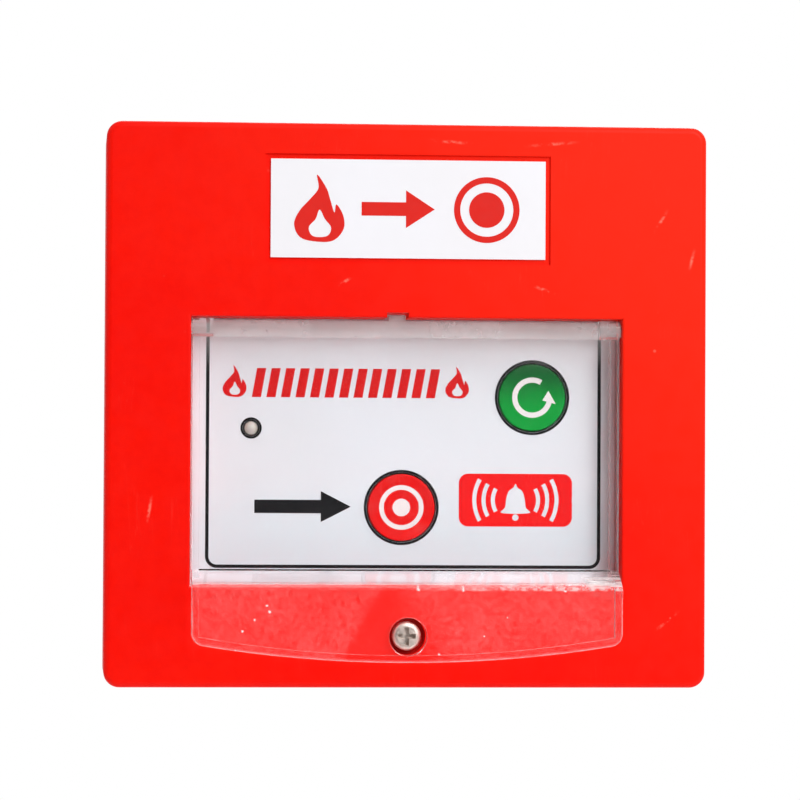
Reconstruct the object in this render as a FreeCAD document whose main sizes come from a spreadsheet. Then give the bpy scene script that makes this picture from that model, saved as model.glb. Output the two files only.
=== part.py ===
import FreeCAD, Part
import math
import os
import re
import Sketcher
from FreeCAD import Placement, Rotation, Vector

# Manual call point: a surface back box, a red front cover with a window, a white key panel behind
# the window, two sprung keys on a circuit board, and a clear flap hinged over them.
# Frame: X to the right, Z up, the wall is the plane Y = 0 and the front faces -Y.
# A "depth" is a distance in front of the wall, so a depth d lies at Y = -d.
# The origin is the middle of the four wall screws, on the wall.

DIMENSIONS = {
    # back box
    "box_width": 112,
    "box_height": 104.5,
    "box_depth": 26,
    "box_wall": 2.5,
    "box_corner": 2.5,
    "lip_depth": 3,
    "lip_gap": 0.3,
    "hook_center": 30,
    "hook_width": 10,
    "hook_rise": 1.0,
    "wall_hole_half_x": 40,
    "wall_hole_half_z": 30,
    "wall_hole_radius": 2.25,
    "wall_boss_radius": 4.5,
    "wall_boss_rise": 1.5,
    "entry_radius": 10.1,
    "entry_depth": 13,
    "plug_center": -28,
    "hook_start": 1,
    "hook_thickness": 1.7,
    "gusset_half": 0.8,
    "gusset_reach": 3,
    # blanking plug of the lower cable entry
    "plug_flange": 1.2,
    "plug_flange_lap": 1.8,
    "plug_reach": 1.4,
    "plug_play": 0.1,
    "plug_lip": 0.8,
    "plug_lip_rise": 0.4,
    # front cover
    "cover_width": 115,
    "cover_height": 107.5,
    "cover_front": 48,
    "cover_wall": 2.5,
    "cover_corner": 3,
    "cover_edge": 1.2,
    "window_half": 41.3,
    "window_top": 16.75,
    "window_bottom": -34.8,
    "window_edge": 0.4,
    "reveal_wall": 2,
    "reveal_back": 38,
    "slot_start": 0.6,
    "slot_play": 0.3,
    "slot_side_play": 1,
    # name label in its recess
    "label_half": 26.3,
    "label_center": 37.45,
    "label_height": 18.8,
    "label_thickness": 0.5,
    "label_recess": 0.6,
    "label_margin": 1.0,
    # screw that closes the cover
    "screw_height": -43.9,
    "screw_head_radius": 2.75,
    "screw_head_rise": 2.1,
    "screw_shank_radius": 1.45,
    "screw_length": 25,
    "screw_seat": 46.6,
    "seat_radius": 3.6,
    "post_radius": 4,
    "post_top": 30,
    "insert_radius": 2.1,
    "insert_bore": 1.5,
    "insert_length": 6,
    "insert_ring": 2.4,
    "insert_groove": 0.3,
    "post_gap": 0.3,
    "shank_play": 0.25,
    # hinge of the flap
    "hinge_depth": 45,
    "hinge_height": 14.6,
    "knuckle_radius": 1.95,
    "knuckle_length": 4.0,
    "peg_radius": 1.2,
    "peg_play": 0.06,
    "peg_end": 43.1,
    "peg_lap": 0.2,
    "peg_end_play": 0.3,
    "peg_boss_back": 3.5,
    "peg_boss_half": 2.8,
    "peg_boss_middle": 1,
    "peg_boss_wall": 1.2,
    # flap
    "flap_half": 41.0,
    "pane_back": 44.0,
    "pane_front": 46.0,
    "pane_rise": 1.6,
    "pane_bottom": -31.5,
    "bend_radius": 0.4,
    "rib_rise": 0.3,
    "rib_drop": 1.7,
    "rib_back": 43.1,
    "side_back": 40.6,
    "side_front": 48,
    "side_wall": 1.5,
    "side_drop": 1.3,
    "side_bottom": -33.4,
    "side_lap": 0.6,
    "skirt_front": 52.0,
    "skirt_sheet": 1.8,
    "skirt_rim_back": 48.6,
    "skirt_rim": 1.3,
    "skirt_lap": 2.0,
    "skirt_half": 41.0,
    "skirt_top": -34.6,
    "skirt_side_bottom": -45.4,
    "skirt_bow": 3.45,
    "skirt_corner": 2.5,
    "skirt_edge": 0.6,
    "skirt_hole": 3.6,
    "hole_edge": 0.25,
    "nib_center": -1.9,
    "nib_half": 1.6,
    "nib_back": 44.6,
    "nib_rise": 0.45,
    "nib_play": 0.5,
    # key panel, its printed front and its screws
    "plate_half": 51,
    "plate_top": 20.5,
    "plate_bottom": -38.5,
    "plate_back": 36,
    "overlay_thickness": 0.25,
    "overlay_inset": 0.4,
    "plate_screw_x": 48,
    "plate_screw_top": 8,
    "plate_screw_bottom": -30,
    "plate_boss_radius": 2.8,
    "plate_screw_head": 2.3,
    "plate_screw_rise": 1.6,
    "plate_screw_length": 8.5,
    "tapping_radius": 1.2,
    "hole_play": 0.2,
    # keys
    "press_x": -0.35,
    "press_z": -19.5,
    "reset_x": 24.95,
    "reset_z": 1.85,
    "key_radius": 6.45,
    "key_gap": 0.3,
    "key_front": 38.5,
    "key_back": 35.0,
    "key_edge": 0.3,
    "key_wall": 1.2,
    "key_hollow": 2,
    "socket_wall": 1.1,
    "collar_wall": 1.1,
    "collar_back": 33.5,
    # circuit board and switches
    "board_half": 40,
    "board_top": 15,
    "board_bottom": -33,
    "board_back": 24.9,
    "board_front": 26.5,
    "board_post_x": 36.5,
    "board_post_top": 11.5,
    "board_post_bottom": -29.5,
    "board_post_radius": 2.4,
    "board_screw_radius": 1.0,
    "board_screw_head": 2.0,
    "board_screw_rise": 1.4,
    "board_screw_length": 8,
    "board_screw_bore": 7.5,
    "switch_half": 4.25,
    "switch_front": 32.8,
    "switch_cavity": 3.4,
    "switch_floor": 0.8,
    "switch_pin_x": 3.25,
    "switch_pin_z": 2.25,
    "switch_pin_radius": 0.35,
    "pin_play": 0.1,
    "stem_radius": 1.7,
    "stem_play": 0.08,
    "stem_front": 36.4,
    "stem_lap": 0.3,
    "flange_radius": 3.1,
    "flange_back": 31.0,
    "flange_front": 31.7,
    "spring_mean": 2.3,
    "spring_wire": 0.22,
    "spring_turns": 4,
    "spring_play": 0.03,
    # indicator lamp
    "lamp_x": -29.4,
    "lamp_z": -4.35,
    "lamp_radius": 1.5,
    "lamp_back": 33.3,
    "lamp_front": 38.7,
    "lamp_hole": 1.65,
    "lamp_flange": 1,
    "lamp_rim": 0.4,
    "lamp_lap": 0.2,
    "spacer_radius": 2.2,
    # terminal block on the back of the board
    "terminal_pitch": 5.08,
    "terminal_half": 10.6,
    "terminal_top": -24,
    "terminal_bottom": -32.2,
    "terminal_back": 14.9,
    "terminal_pin_z": -28,
    "terminal_pin_radius": 0.5,
    "terminal_pin_rise": 1,
    "terminal_pin_hole": 0.6,
    "terminal_pin_way": 0.55,
    "screw_well": 1.9,
    "wire_half": 1.8,
    "wire_rise": 2.2,
    "cage_start": 2.2,
    "cage_end": 5.8,
    "cage_play": 0.1,
    "cage_half": 1.7,
    "cage_drop": 2.6,
    "cage_rise": 2.1,
    "cage_way_half": 1.2,
    "cage_back_wall": 0.6,
    "cage_front_wall": 0.5,
    "clamp_thread": 1.1,
    "clamp_head_start": 0.3,
    "clamp_head_end": 1.8,
    "clamp_head_radius": 1.8,
    "clamp_shank_start": 1.5,
    "clamp_shank_end": 1.6,
    "clamp_shank_radius": 1.05,
    "clamp_slot_depth": 0.9,
    "clamp_slot_half": 0.25,
    # small parts
    "axial_rise": 1.5,
    "thyristor_rise": 2.5,
    "thyristor_length": 4.6,
    "thyristor_radius": 2.4,
    "thyristor_flat": 1.3,
    "capacitor_rise": 0.4,
    "capacitor_length": 7,
    "capacitor_radius": 2.5,
    "crimp_low": 1.0,
    "crimp_high": 1.6,
    "crimp_radius": 2.25,
    "upright_lead": 0.25,
    "lead_radius": 0.28,
    "lead_play": 0.12,
    "lamp_lead_play": 0.1,
    "lead_end": 23.9,
    # how far a raised feature starts inside the wall that carries it
    "sink": 0.5,
}

# Greatest distance between places that count as the same, by what is compared.
SAME_FACE = 1e-5
SAME_RIM = 1e-4
SAME_EDGE = 0.01

doc = FreeCAD.newDocument("manual_call_point")
dims = doc.addObject("Spreadsheet::Sheet", "dims")
for row, (alias, number) in enumerate(DIMENSIONS.items(), start=1):
    dims.set("A%d" % row, alias)
    dims.set("B%d" % row, str(number))
    dims.setAlias("B%d" % row, alias)
doc.recompute()

NODES = []


# ---------------------------------------------------------------- helpers

def size(alias):
    """Value of one driving dimension."""
    return float(dims.get(alias))


def formula(text):
    """Spreadsheet expression from a text that names the driving dimensions."""
    def qualify(word):
        return "dims." + word.group() if word.group() in DIMENSIONS else word.group()
    return re.sub(r"[a-z][a-z_]+", qualify, str(text))


def bind(item, prop, text):
    item.setExpression(prop, formula(text))


def node(item, label):
    """Name a finished sub-part and list it for export."""
    item.Label = label
    NODES.append(item)
    return item


def new_body(label):
    return node(doc.addObject("PartDesign::Body", label + "_body"), label)


def new_sketch(body, role, offset=0):
    """Sketch on an origin plane. On XZ_Plane the offset is a depth, with X right and Z up."""
    sketch = body.newObject("Sketcher::SketchObject", "sketch")
    plane = [item for item in body.Origin.OriginFeatures if item.Role == role][0]
    sketch.AttachmentSupport = (plane, "")
    sketch.MapMode = "FlatFace"
    bind(sketch, "AttachmentOffset.Base.z", offset)
    return sketch


def fix_point(sketch, geometry, vertex, across, up):
    """Hold a sketch vertex at two bound coordinates."""
    point = sketch.getPoint(geometry, vertex)
    for axis, start, text in (("X", point.x, across), ("Y", point.y, up)):
        index = sketch.addConstraint(Sketcher.Constraint("Distance" + axis, geometry, vertex, start))
        bind(sketch, "Constraints[%d]" % index, text)


def add_polygon(sketch, points):
    """Closed outline of straight lines through bound points."""
    count = len(points)
    turns = [2 * math.pi * step / count for step in range(count)]
    ring = [Vector(math.cos(turn), math.sin(turn), 0) for turn in turns]
    first = sketch.GeometryCount
    for step in range(count):
        sketch.addGeometry(Part.LineSegment(ring[step], ring[(step + 1) % count]))
    for step in range(count):
        following = first + (step + 1) % count
        sketch.addConstraint(Sketcher.Constraint("Coincident", first + step, 2, following, 1))
    for step, (across, up) in enumerate(points):
        fix_point(sketch, first + step, 1, across, up)


def add_rectangle(sketch, left, right, bottom, top):
    add_polygon(sketch, [(left, bottom), (right, bottom), (right, top), (left, top)])


def add_circle(sketch, across, up, radius):
    circle = sketch.addGeometry(Part.Circle(Vector(1, 1, 0), Vector(0, 0, 1), 2))
    fix_point(sketch, circle, 3, across, up)
    index = sketch.addConstraint(Sketcher.Constraint("Radius", circle, 1.0))
    bind(sketch, "Constraints[%d]" % index, radius)


def pad(body, sketch, length, both_ways=False):
    """Extrude towards the front (XZ_Plane), or evenly to both sides."""
    feature = body.newObject("PartDesign::Pad", "pad")
    feature.Profile = sketch
    bind(feature, "Length", length)
    feature.Midplane = both_ways
    return feature


def pocket(body, sketch, length, forward=False):
    """Cut from the sketch back towards the wall, or forward, and check that it removed material."""
    doc.recompute()
    before = body.Tip.Shape.Volume
    feature = body.newObject("PartDesign::Pocket", "pocket")
    feature.Profile = sketch
    bind(feature, "Length", length)
    feature.Reversed = forward
    doc.recompute()
    if not feature.Shape.Volume < before - 0.01:
        raise RuntimeError("a pocket in %s cuts nothing" % body.Label)
    return feature


def fillet(body, radius, wanted):
    """Round the edges of the body's last feature for which wanted(edge) holds."""
    doc.recompute()
    base = body.Tip
    names = ["Edge%d" % (i + 1) for i, edge in enumerate(base.Shape.Edges) if wanted(edge)]
    feature = body.newObject("PartDesign::Fillet", "fillet")
    feature.Base = (base, names)
    bind(feature, "Radius", radius)
    return feature


def block(name, x, depth, z):
    """Box from three bound (low, high) pairs: X, depth and Z."""
    solid = doc.addObject("Part::Box", name)
    for prop, (low, high) in (("Length", x), ("Width", depth), ("Height", z)):
        bind(solid, prop, "(%s) - (%s)" % (high, low))
    bind(solid, "Placement.Base.x", x[0])
    bind(solid, "Placement.Base.y", "-(%s)" % depth[1])
    bind(solid, "Placement.Base.z", z[0])
    return solid


def rod(name, x, z, depth, radius):
    """Cylinder along the depth, from the pair's low depth to its high depth."""
    solid = doc.addObject("Part::Cylinder", name)
    solid.Placement.Rotation = Rotation(Vector(1, 0, 0), 90)
    bind(solid, "Radius", radius)
    bind(solid, "Height", "(%s) - (%s)" % (depth[1], depth[0]))
    bind(solid, "Placement.Base.x", x)
    bind(solid, "Placement.Base.y", "-(%s)" % depth[0])
    bind(solid, "Placement.Base.z", z)
    return solid


def cross_rod(name, x, depth, z, radius):
    """Cylinder along X, from the pair's low X to its high X."""
    solid = doc.addObject("Part::Cylinder", name)
    solid.Placement.Rotation = Rotation(Vector(0, 1, 0), 90)
    bind(solid, "Radius", radius)
    bind(solid, "Height", "(%s) - (%s)" % (x[1], x[0]))
    bind(solid, "Placement.Base.x", x[0])
    bind(solid, "Placement.Base.y", "-(%s)" % depth)
    bind(solid, "Placement.Base.z", z)
    return solid


def disc(name, x, depth, z, radius):
    """Cylinder along Z, from the pair's low Z to its high Z."""
    solid = doc.addObject("Part::Cylinder", name)
    bind(solid, "Radius", radius)
    bind(solid, "Height", "(%s) - (%s)" % (z[1], z[0]))
    bind(solid, "Placement.Base.x", x)
    bind(solid, "Placement.Base.y", "-(%s)" % depth)
    bind(solid, "Placement.Base.z", z[0])
    return solid


def ball(name, x, depth, z, radius):
    solid = doc.addObject("Part::Sphere", name)
    bind(solid, "Radius", radius)
    bind(solid, "Placement.Base.x", x)
    bind(solid, "Placement.Base.y", "-(%s)" % depth)
    bind(solid, "Placement.Base.z", z)
    return solid


def fuse(name, members):
    joined = doc.addObject("Part::MultiFuse", name)
    joined.Shapes = members
    return joined


def cut(name, base, tools):
    result = doc.addObject("Part::Cut", name)
    result.Base = base
    result.Tool = tools[0] if len(tools) == 1 else fuse(name + "_tools", tools)
    return result


def group(name, members):
    """Several separate solids in one node."""
    compound = doc.addObject("Part::Compound", name)
    compound.Links = members
    return compound


def cross_screw(name, x, z, seat, head, shank, facing=1):
    """Pan-head screw with a cross recess. facing 1: the head is at the front; -1: at the back."""
    head_radius, head_rise = head
    shank_radius, length = shank

    def span(start, end):
        """Depths measured from the seat, towards the head when positive."""
        ends = ["%s + (%s) * (%d)" % (seat, value, facing) for value in (start, end)]
        return ends if facing > 0 else ends[::-1]

    head_solid = rod(name + "_head", x, z, span("0", head_rise), head_radius)
    doc.recompute()
    rounded = doc.addObject("Part::Fillet", name + "_round")
    rounded.Base = head_solid
    face_depth = size_of(seat) + size_of(head_rise) * facing
    rim = [i + 1 for i, edge in enumerate(head_solid.Shape.Edges)
           if len(edge.Vertexes) == 1 and abs(edge.CenterOfMass.y + face_depth) < SAME_RIM]
    radius = 0.45 * size_of(head_rise)
    rounded.Edges = [(index, radius, radius) for index in rim]
    shank_solid = rod(name + "_shank", x, z, span("-(%s)" % length, "0"), shank_radius)
    half_slot = "0.16 * (%s)" % head_radius
    half_reach = "0.62 * (%s)" % head_radius
    recess_depth = span("0.35 * (%s)" % head_rise, "1.1 * (%s)" % head_rise)
    slots = []
    for tag, half_x, half_z in (("_slot_x", half_reach, half_slot), ("_slot_z", half_slot, half_reach)):
        slots.append(block(
            name + tag,
            ("%s - %s" % (x, half_x), "%s + %s" % (x, half_x)),
            recess_depth,
            ("%s - %s" % (z, half_z), "%s + %s" % (z, half_z)),
        ))
    return cut(name, fuse(name + "_blank", [rounded, shank_solid]), slots)


def size_of(text):
    """Number of a plain alias or a plain number given as text."""
    return size(text) if text in DIMENSIONS else float(text)


def along_depth(edge):
    """Straight edge that runs from the wall towards the front."""
    line = edge.Curve.TypeId == "Part::GeomLine"
    return line and abs(edge.tangentAt(edge.FirstParameter).y) > 0.999


# ---------------------------------------------------------------- back box

def make_back_box():
    body = new_body("back_box")

    shell = new_sketch(body, "XZ_Plane")
    add_rectangle(shell, "-box_width / 2", "box_width / 2", "-box_height / 2", "box_height / 2")
    pad(body, shell, "box_depth")
    fillet(body, "box_corner", along_depth)

    lip_x = "(cover_width / 2 - cover_wall - lip_gap)"
    lip_z = "(cover_height / 2 - cover_wall - lip_gap)"
    lip = new_sketch(body, "XZ_Plane", "box_depth")
    add_rectangle(lip, "-" + lip_x, lip_x, "-" + lip_z, lip_z)
    pad(body, lip, "lip_depth")

    cavity = new_sketch(body, "XZ_Plane", "box_depth + lip_depth")
    half_x = "(box_width / 2 - box_wall)"
    half_z = "(box_height / 2 - box_wall)"
    add_rectangle(cavity, "-" + half_x, half_x, "-" + half_z, half_z)
    pocket(body, cavity, "box_depth + lip_depth - box_wall")

    hooks = new_sketch(body, "XZ_Plane", "box_depth + hook_start")
    for side in ("-", ""):
        middle = side + "hook_center"
        add_rectangle(hooks, middle + " - hook_width / 2", middle + " + hook_width / 2",
                      lip_z + " - sink", lip_z + " + hook_rise")
    pad(body, hooks, "hook_thickness")

    post = new_sketch(body, "XZ_Plane", "box_wall - sink")
    add_circle(post, 0, "screw_height", "post_radius")
    pad(body, post, "post_top - box_wall + sink")
    gusset = new_sketch(body, "XZ_Plane", "box_wall - sink")
    add_rectangle(gusset, "-gusset_half", "gusset_half", "-" + half_z + " - sink", "screw_height - gusset_reach")
    pad(body, gusset, "box_depth - box_wall")

    bosses = new_sketch(body, "XZ_Plane", "box_wall - sink")
    holes = new_sketch(body, "XZ_Plane", "box_wall + wall_boss_rise")
    for side_x in ("-", ""):
        for side_z in ("-", ""):
            place = (side_x + "wall_hole_half_x", side_z + "wall_hole_half_z")
            add_circle(bosses, *place, "wall_boss_radius")
            add_circle(holes, *place, "wall_hole_radius")
    pad(body, bosses, "wall_boss_rise + sink")
    pocket(body, holes, "box_wall + wall_boss_rise")

    insert_bore = new_sketch(body, "XZ_Plane", "post_top")
    add_circle(insert_bore, 0, "screw_height", "insert_radius")
    pocket(body, insert_bore, "insert_length")
    tip_bore = new_sketch(body, "XZ_Plane", "post_top - insert_length")
    add_circle(tip_bore, 0, "screw_height", "insert_bore")
    pocket(body, tip_bore, "insert_length")

    top_entry = new_sketch(body, "XY_Plane", "box_height / 2")
    add_circle(top_entry, 0, "-entry_depth", "entry_radius")
    pocket(body, top_entry, "box_wall")
    bottom_entry = new_sketch(body, "XY_Plane", "-" + half_z)
    add_circle(bottom_entry, "plug_center", "-entry_depth", "entry_radius")
    pocket(body, bottom_entry, "box_wall")


def make_entry_plug():
    """Blanking plug pushed into the bottom cable entry from outside."""
    outer = "-box_height / 2"
    inner = "-box_height / 2 + box_wall"
    flange = disc("plug_flange", "plug_center", "entry_depth",
                  (outer + " - plug_flange", outer), "entry_radius + plug_flange_lap")
    stem = disc("plug_stem", "plug_center", "entry_depth",
                (outer, inner + " + plug_reach"), "entry_radius - plug_play")
    lip = disc("plug_lip", "plug_center", "entry_depth",
               (inner, inner + " + plug_lip"), "entry_radius + plug_lip_rise")
    node(fuse("plug", [flange, stem, lip]), "entry_plug")


# ---------------------------------------------------------------- front cover

def make_front_cover():
    body = new_body("front_cover")
    half_x = "(cover_width / 2)"
    half_z = "(cover_height / 2)"

    block_sketch = new_sketch(body, "XZ_Plane", "box_depth")
    add_rectangle(block_sketch, "-" + half_x, half_x, "-" + half_z, half_z)
    pad(body, block_sketch, "cover_front - box_depth")
    fillet(body, "cover_corner", along_depth)
    front = -size("cover_front")
    fillet(body, "cover_edge", lambda edge: abs(edge.BoundBox.YMax - front) < SAME_FACE)

    cavity = new_sketch(body, "XZ_Plane", "box_depth")
    inner_x = "(cover_width / 2 - cover_wall)"
    inner_z = "(cover_height / 2 - cover_wall)"
    add_rectangle(cavity, "-" + inner_x, inner_x, "-" + inner_z, inner_z)
    pocket(body, cavity, "cover_front - cover_wall - box_depth", forward=True)

    reveal = new_sketch(body, "XZ_Plane", "reveal_back")
    add_rectangle(reveal, "-window_half - reveal_wall", "window_half + reveal_wall",
                  "window_bottom - reveal_wall", "window_top + reveal_wall")
    pad(body, reveal, "cover_front - cover_wall - reveal_back + sink")

    peg_bosses = new_sketch(body, "XZ_Plane", "hinge_depth - peg_boss_back")
    plate_bosses = new_sketch(body, "XZ_Plane", "reveal_back")
    for side in ("-", ""):
        middle = side + "(window_half + reveal_wall + peg_boss_middle)"
        add_rectangle(peg_bosses, middle + " - peg_boss_wall", middle + " + peg_boss_wall",
                      "hinge_height - peg_boss_half", "hinge_height + peg_boss_half")
        for height in ("plate_screw_top", "plate_screw_bottom"):
            add_circle(plate_bosses, side + "plate_screw_x", height, "plate_boss_radius")
    pad(body, peg_bosses, "cover_front - cover_wall - hinge_depth + peg_boss_back + sink")
    pad(body, plate_bosses, "cover_front - cover_wall - reveal_back + sink")
    screw_boss = new_sketch(body, "XZ_Plane", "post_top + post_gap")
    add_circle(screw_boss, 0, "screw_height", "post_radius")
    pad(body, screw_boss, "cover_front - cover_wall - post_top - post_gap + sink")

    window = new_sketch(body, "XZ_Plane", "cover_front")
    add_rectangle(window, "-window_half", "window_half", "window_bottom", "window_top")
    pocket(body, window, "cover_front - reveal_back")
    limit = size("window_half") + SAME_EDGE
    low, high = size("window_bottom") - SAME_EDGE, size("window_top") + SAME_EDGE

    def window_rim(edge):
        box = edge.BoundBox
        inside = box.XMin > -limit and box.XMax < limit and box.ZMin > low and box.ZMax < high
        return inside and abs(box.YMin - front) < SAME_FACE and abs(box.YMax - front) < SAME_FACE
    fillet(body, "window_edge", window_rim)

    nib_notch = new_sketch(body, "XZ_Plane", "cover_front")
    add_rectangle(nib_notch, "nib_center - nib_half - nib_play", "nib_center + nib_half + nib_play",
                  "window_top - 2 * sink", "window_top + nib_rise + nib_play")
    pocket(body, nib_notch, "cover_front - reveal_back")

    label_seat = new_sketch(body, "XZ_Plane", "cover_front")
    add_rectangle(label_seat, "-label_half - label_margin", "label_half + label_margin",
                  "label_center - label_height / 2 - label_margin",
                  "label_center + label_height / 2 + label_margin")
    pocket(body, label_seat, "label_recess")

    screw_seat = new_sketch(body, "XZ_Plane", "cover_front")
    add_circle(screw_seat, 0, "screw_height", "seat_radius")
    pocket(body, screw_seat, "cover_front - screw_seat")
    screw_bore = new_sketch(body, "XZ_Plane", "screw_seat")
    add_circle(screw_bore, 0, "screw_height", "screw_shank_radius + shank_play")
    pocket(body, screw_bore, "screw_seat - post_top")

    plate_bores = new_sketch(body, "XZ_Plane", "reveal_back")
    hook_slots = new_sketch(body, "XZ_Plane", "box_depth + slot_start")
    for side in ("-", ""):
        for height in ("plate_screw_top", "plate_screw_bottom"):
            add_circle(plate_bores, side + "plate_screw_x", height, "tapping_radius")
        middle = side + "hook_center"
        add_rectangle(hook_slots, middle + " - hook_width / 2 - slot_side_play",
                      middle + " + hook_width / 2 + slot_side_play",
                      inner_z + " - sink", inner_z + " + hook_rise + slot_play")
    pocket(body, plate_bores, "cover_front - cover_wall - reveal_back", forward=True)
    pocket(body, hook_slots, "lip_depth - slot_start", forward=True)

    for side in (-1, 1):
        peg_bore = new_sketch(body, "YZ_Plane", "%d * window_half" % side)
        add_circle(peg_bore, "-hinge_depth", "hinge_height", "peg_radius + peg_play")
        pocket(body, peg_bore, "peg_end - window_half + peg_end_play", forward=side > 0)


def make_label():
    label = block("label", ("-label_half", "label_half"),
                  ("cover_front - label_recess", "cover_front - label_recess + label_thickness"),
                  ("label_center - label_height / 2", "label_center + label_height / 2"))
    node(label, "top_label")


def make_cover_fastening():
    """Brass insert in the post of the back box, and the screw that closes the cover."""
    low = "(post_top - insert_length)"
    rings = [
        rod("insert_back_ring", 0, "screw_height", (low, low + " + insert_ring"), "insert_radius"),
        rod("insert_core", 0, "screw_height", (low, "post_top"), "insert_radius - insert_groove"),
        rod("insert_front_ring", 0, "screw_height", ("post_top - insert_ring", "post_top"), "insert_radius"),
    ]
    bore = rod("insert_bore_tool", 0, "screw_height", (low + " - 1", "post_top + 1"), "insert_bore")
    node(cut("insert", fuse("insert_blank", rings), [bore]), "cover_insert")
    screw = cross_screw("closing_screw", "0", "screw_height", "screw_seat",
                        ("screw_head_radius", "screw_head_rise"), ("screw_shank_radius", "screw_length"))
    node(screw, "cover_screw")


# ---------------------------------------------------------------- flap

def add_skirt_outline(sketch, half, top, side_bottom, bow):
    """Straight top and sides, closed below by one shallow arc that bulges downwards."""
    top_line = sketch.addGeometry(Part.LineSegment(Vector(-40, -30, 0), Vector(40, -30, 0)))
    right_line = sketch.addGeometry(Part.LineSegment(Vector(40, -30, 0), Vector(40, -46, 0)))
    bottom_arc = sketch.addGeometry(Part.Arc(Vector(-40, -46, 0), Vector(0, -50, 0), Vector(40, -46, 0)))
    left_line = sketch.addGeometry(Part.LineSegment(Vector(-40, -46, 0), Vector(-40, -30, 0)))
    for pair in (
        (top_line, 2, right_line, 1),
        (right_line, 2, bottom_arc, 2),
        (bottom_arc, 1, left_line, 1),
        (left_line, 2, top_line, 1),
    ):
        sketch.addConstraint(Sketcher.Constraint("Coincident", *pair))
    fix_point(sketch, top_line, 1, "-(%s)" % half, top)
    fix_point(sketch, top_line, 2, half, top)
    fix_point(sketch, right_line, 2, half, side_bottom)
    fix_point(sketch, left_line, 1, "-(%s)" % half, side_bottom)
    index = sketch.addConstraint(Sketcher.Constraint("Radius", bottom_arc, 202.0))
    bind(sketch, "Constraints[%d]" % index, "((%s)^2 + (%s)^2) / (2 * (%s))" % (half, bow, bow))


def make_flap():
    body = new_body("flap")

    skirt = new_sketch(body, "XZ_Plane", "skirt_rim_back")
    add_skirt_outline(skirt, "skirt_half", "skirt_top", "skirt_side_bottom", "skirt_bow")
    pad(body, skirt, "skirt_front - skirt_rim_back")
    corner_height = size("skirt_side_bottom")
    fillet(body, "skirt_corner",
           lambda edge: along_depth(edge) and abs(edge.CenterOfMass.z - corner_height) < SAME_EDGE)
    front = -size("skirt_front")
    top = size("skirt_top")

    def skirt_front_rim(edge):
        box = edge.BoundBox
        return abs(box.YMin - front) < SAME_FACE and abs(box.YMax - front) < SAME_FACE and box.ZMin < top - 0.1
    fillet(body, "skirt_edge", skirt_front_rim)
    hollow = new_sketch(body, "XZ_Plane", "skirt_rim_back")
    add_skirt_outline(hollow, "skirt_half - skirt_rim", "skirt_top + 1", "skirt_side_bottom + skirt_rim",
                      "skirt_bow")
    pocket(body, hollow, "skirt_front - skirt_sheet - skirt_rim_back", forward=True)

    pane = new_sketch(body, "YZ_Plane")
    add_polygon(pane, [
        ("-pane_front", "hinge_height + pane_rise"),
        ("-pane_front", "pane_bottom"),
        ("-skirt_front", "skirt_top"),
        ("-skirt_front", "skirt_top - skirt_lap"),
        ("-skirt_front + skirt_sheet", "skirt_top - skirt_lap"),
        ("-skirt_front + skirt_sheet", "skirt_top"),
        ("-pane_back", "skirt_top + (pane_bottom - skirt_top) * "
                       "(skirt_front - skirt_sheet - pane_back) / (skirt_front - pane_front)"),
        ("-pane_back", "hinge_height - rib_drop"),
        ("-rib_back", "hinge_height - rib_drop"),
        ("-rib_back", "hinge_height + rib_rise"),
        ("-pane_back", "hinge_height + rib_rise"),
        ("-pane_back", "hinge_height + pane_rise"),
    ])
    pad(body, pane, "2 * flap_half", both_ways=True)
    bend_places = [(-size("pane_front"), size("pane_bottom")), (front, top)]

    def bends(edge):
        if edge.BoundBox.XLength < 2 * size("skirt_half") - 10:
            return False
        middle = edge.CenterOfMass
        return any(abs(middle.y - y) < SAME_EDGE and abs(middle.z - z) < SAME_EDGE for y, z in bend_places)
    fillet(body, "bend_radius", bends)

    for side in (-1, 1):
        middle = "%d * (flap_half - side_wall / 2)" % side
        wall = new_sketch(body, "YZ_Plane", middle)
        add_polygon(wall, [
            ("-hinge_depth", "hinge_height - side_drop"),
            ("-side_back", "hinge_height - side_drop"),
            ("-side_back", "side_bottom"),
            ("-side_front", "side_bottom"),
            ("-side_front", "side_bottom + side_lap"),
            ("-hinge_depth", "pane_bottom"),
        ])
        pad(body, wall, "side_wall", both_ways=True)
        knuckle = new_sketch(body, "YZ_Plane", "%d * (flap_half - knuckle_length / 2)" % side)
        add_circle(knuckle, "-hinge_depth", "hinge_height", "knuckle_radius")
        pad(body, knuckle, "knuckle_length", both_ways=True)
        peg = new_sketch(body, "YZ_Plane", "%d * (flap_half + peg_end) / 2" % side)
        add_circle(peg, "-hinge_depth", "hinge_height", "peg_radius")
        pad(body, peg, "peg_end - flap_half + peg_lap", both_ways=True)
    nib = new_sketch(body, "XZ_Plane", "nib_back")
    add_rectangle(nib, "nib_center - nib_half", "nib_center + nib_half",
                  "hinge_height + rib_rise", "window_top + nib_rise")
    pad(body, nib, "pane_front - nib_back")

    screw_hole = new_sketch(body, "XZ_Plane", "skirt_front")
    add_circle(screw_hole, 0, "screw_height", "skirt_hole")
    pocket(body, screw_hole, "skirt_front - skirt_rim_back")

    def hole_rim(edge):
        box = edge.BoundBox
        return (abs(box.YMin - front) < SAME_FACE and abs(box.YMax - front) < SAME_FACE
                and box.XLength < 2 * size("skirt_hole") + 0.1)
    fillet(body, "hole_edge", hole_rim)


# ---------------------------------------------------------------- key panel

KEYS = (("press", "press_x", "press_z"), ("reset", "reset_x", "reset_z"))
PLATE_SCREWS = [(side + "plate_screw_x", height)
                for side in ("-", "") for height in ("plate_screw_top", "plate_screw_bottom")]
BOARD_POSTS = [(side + "board_post_x", height)
               for side in ("-", "") for height in ("board_post_top", "board_post_bottom")]


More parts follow.
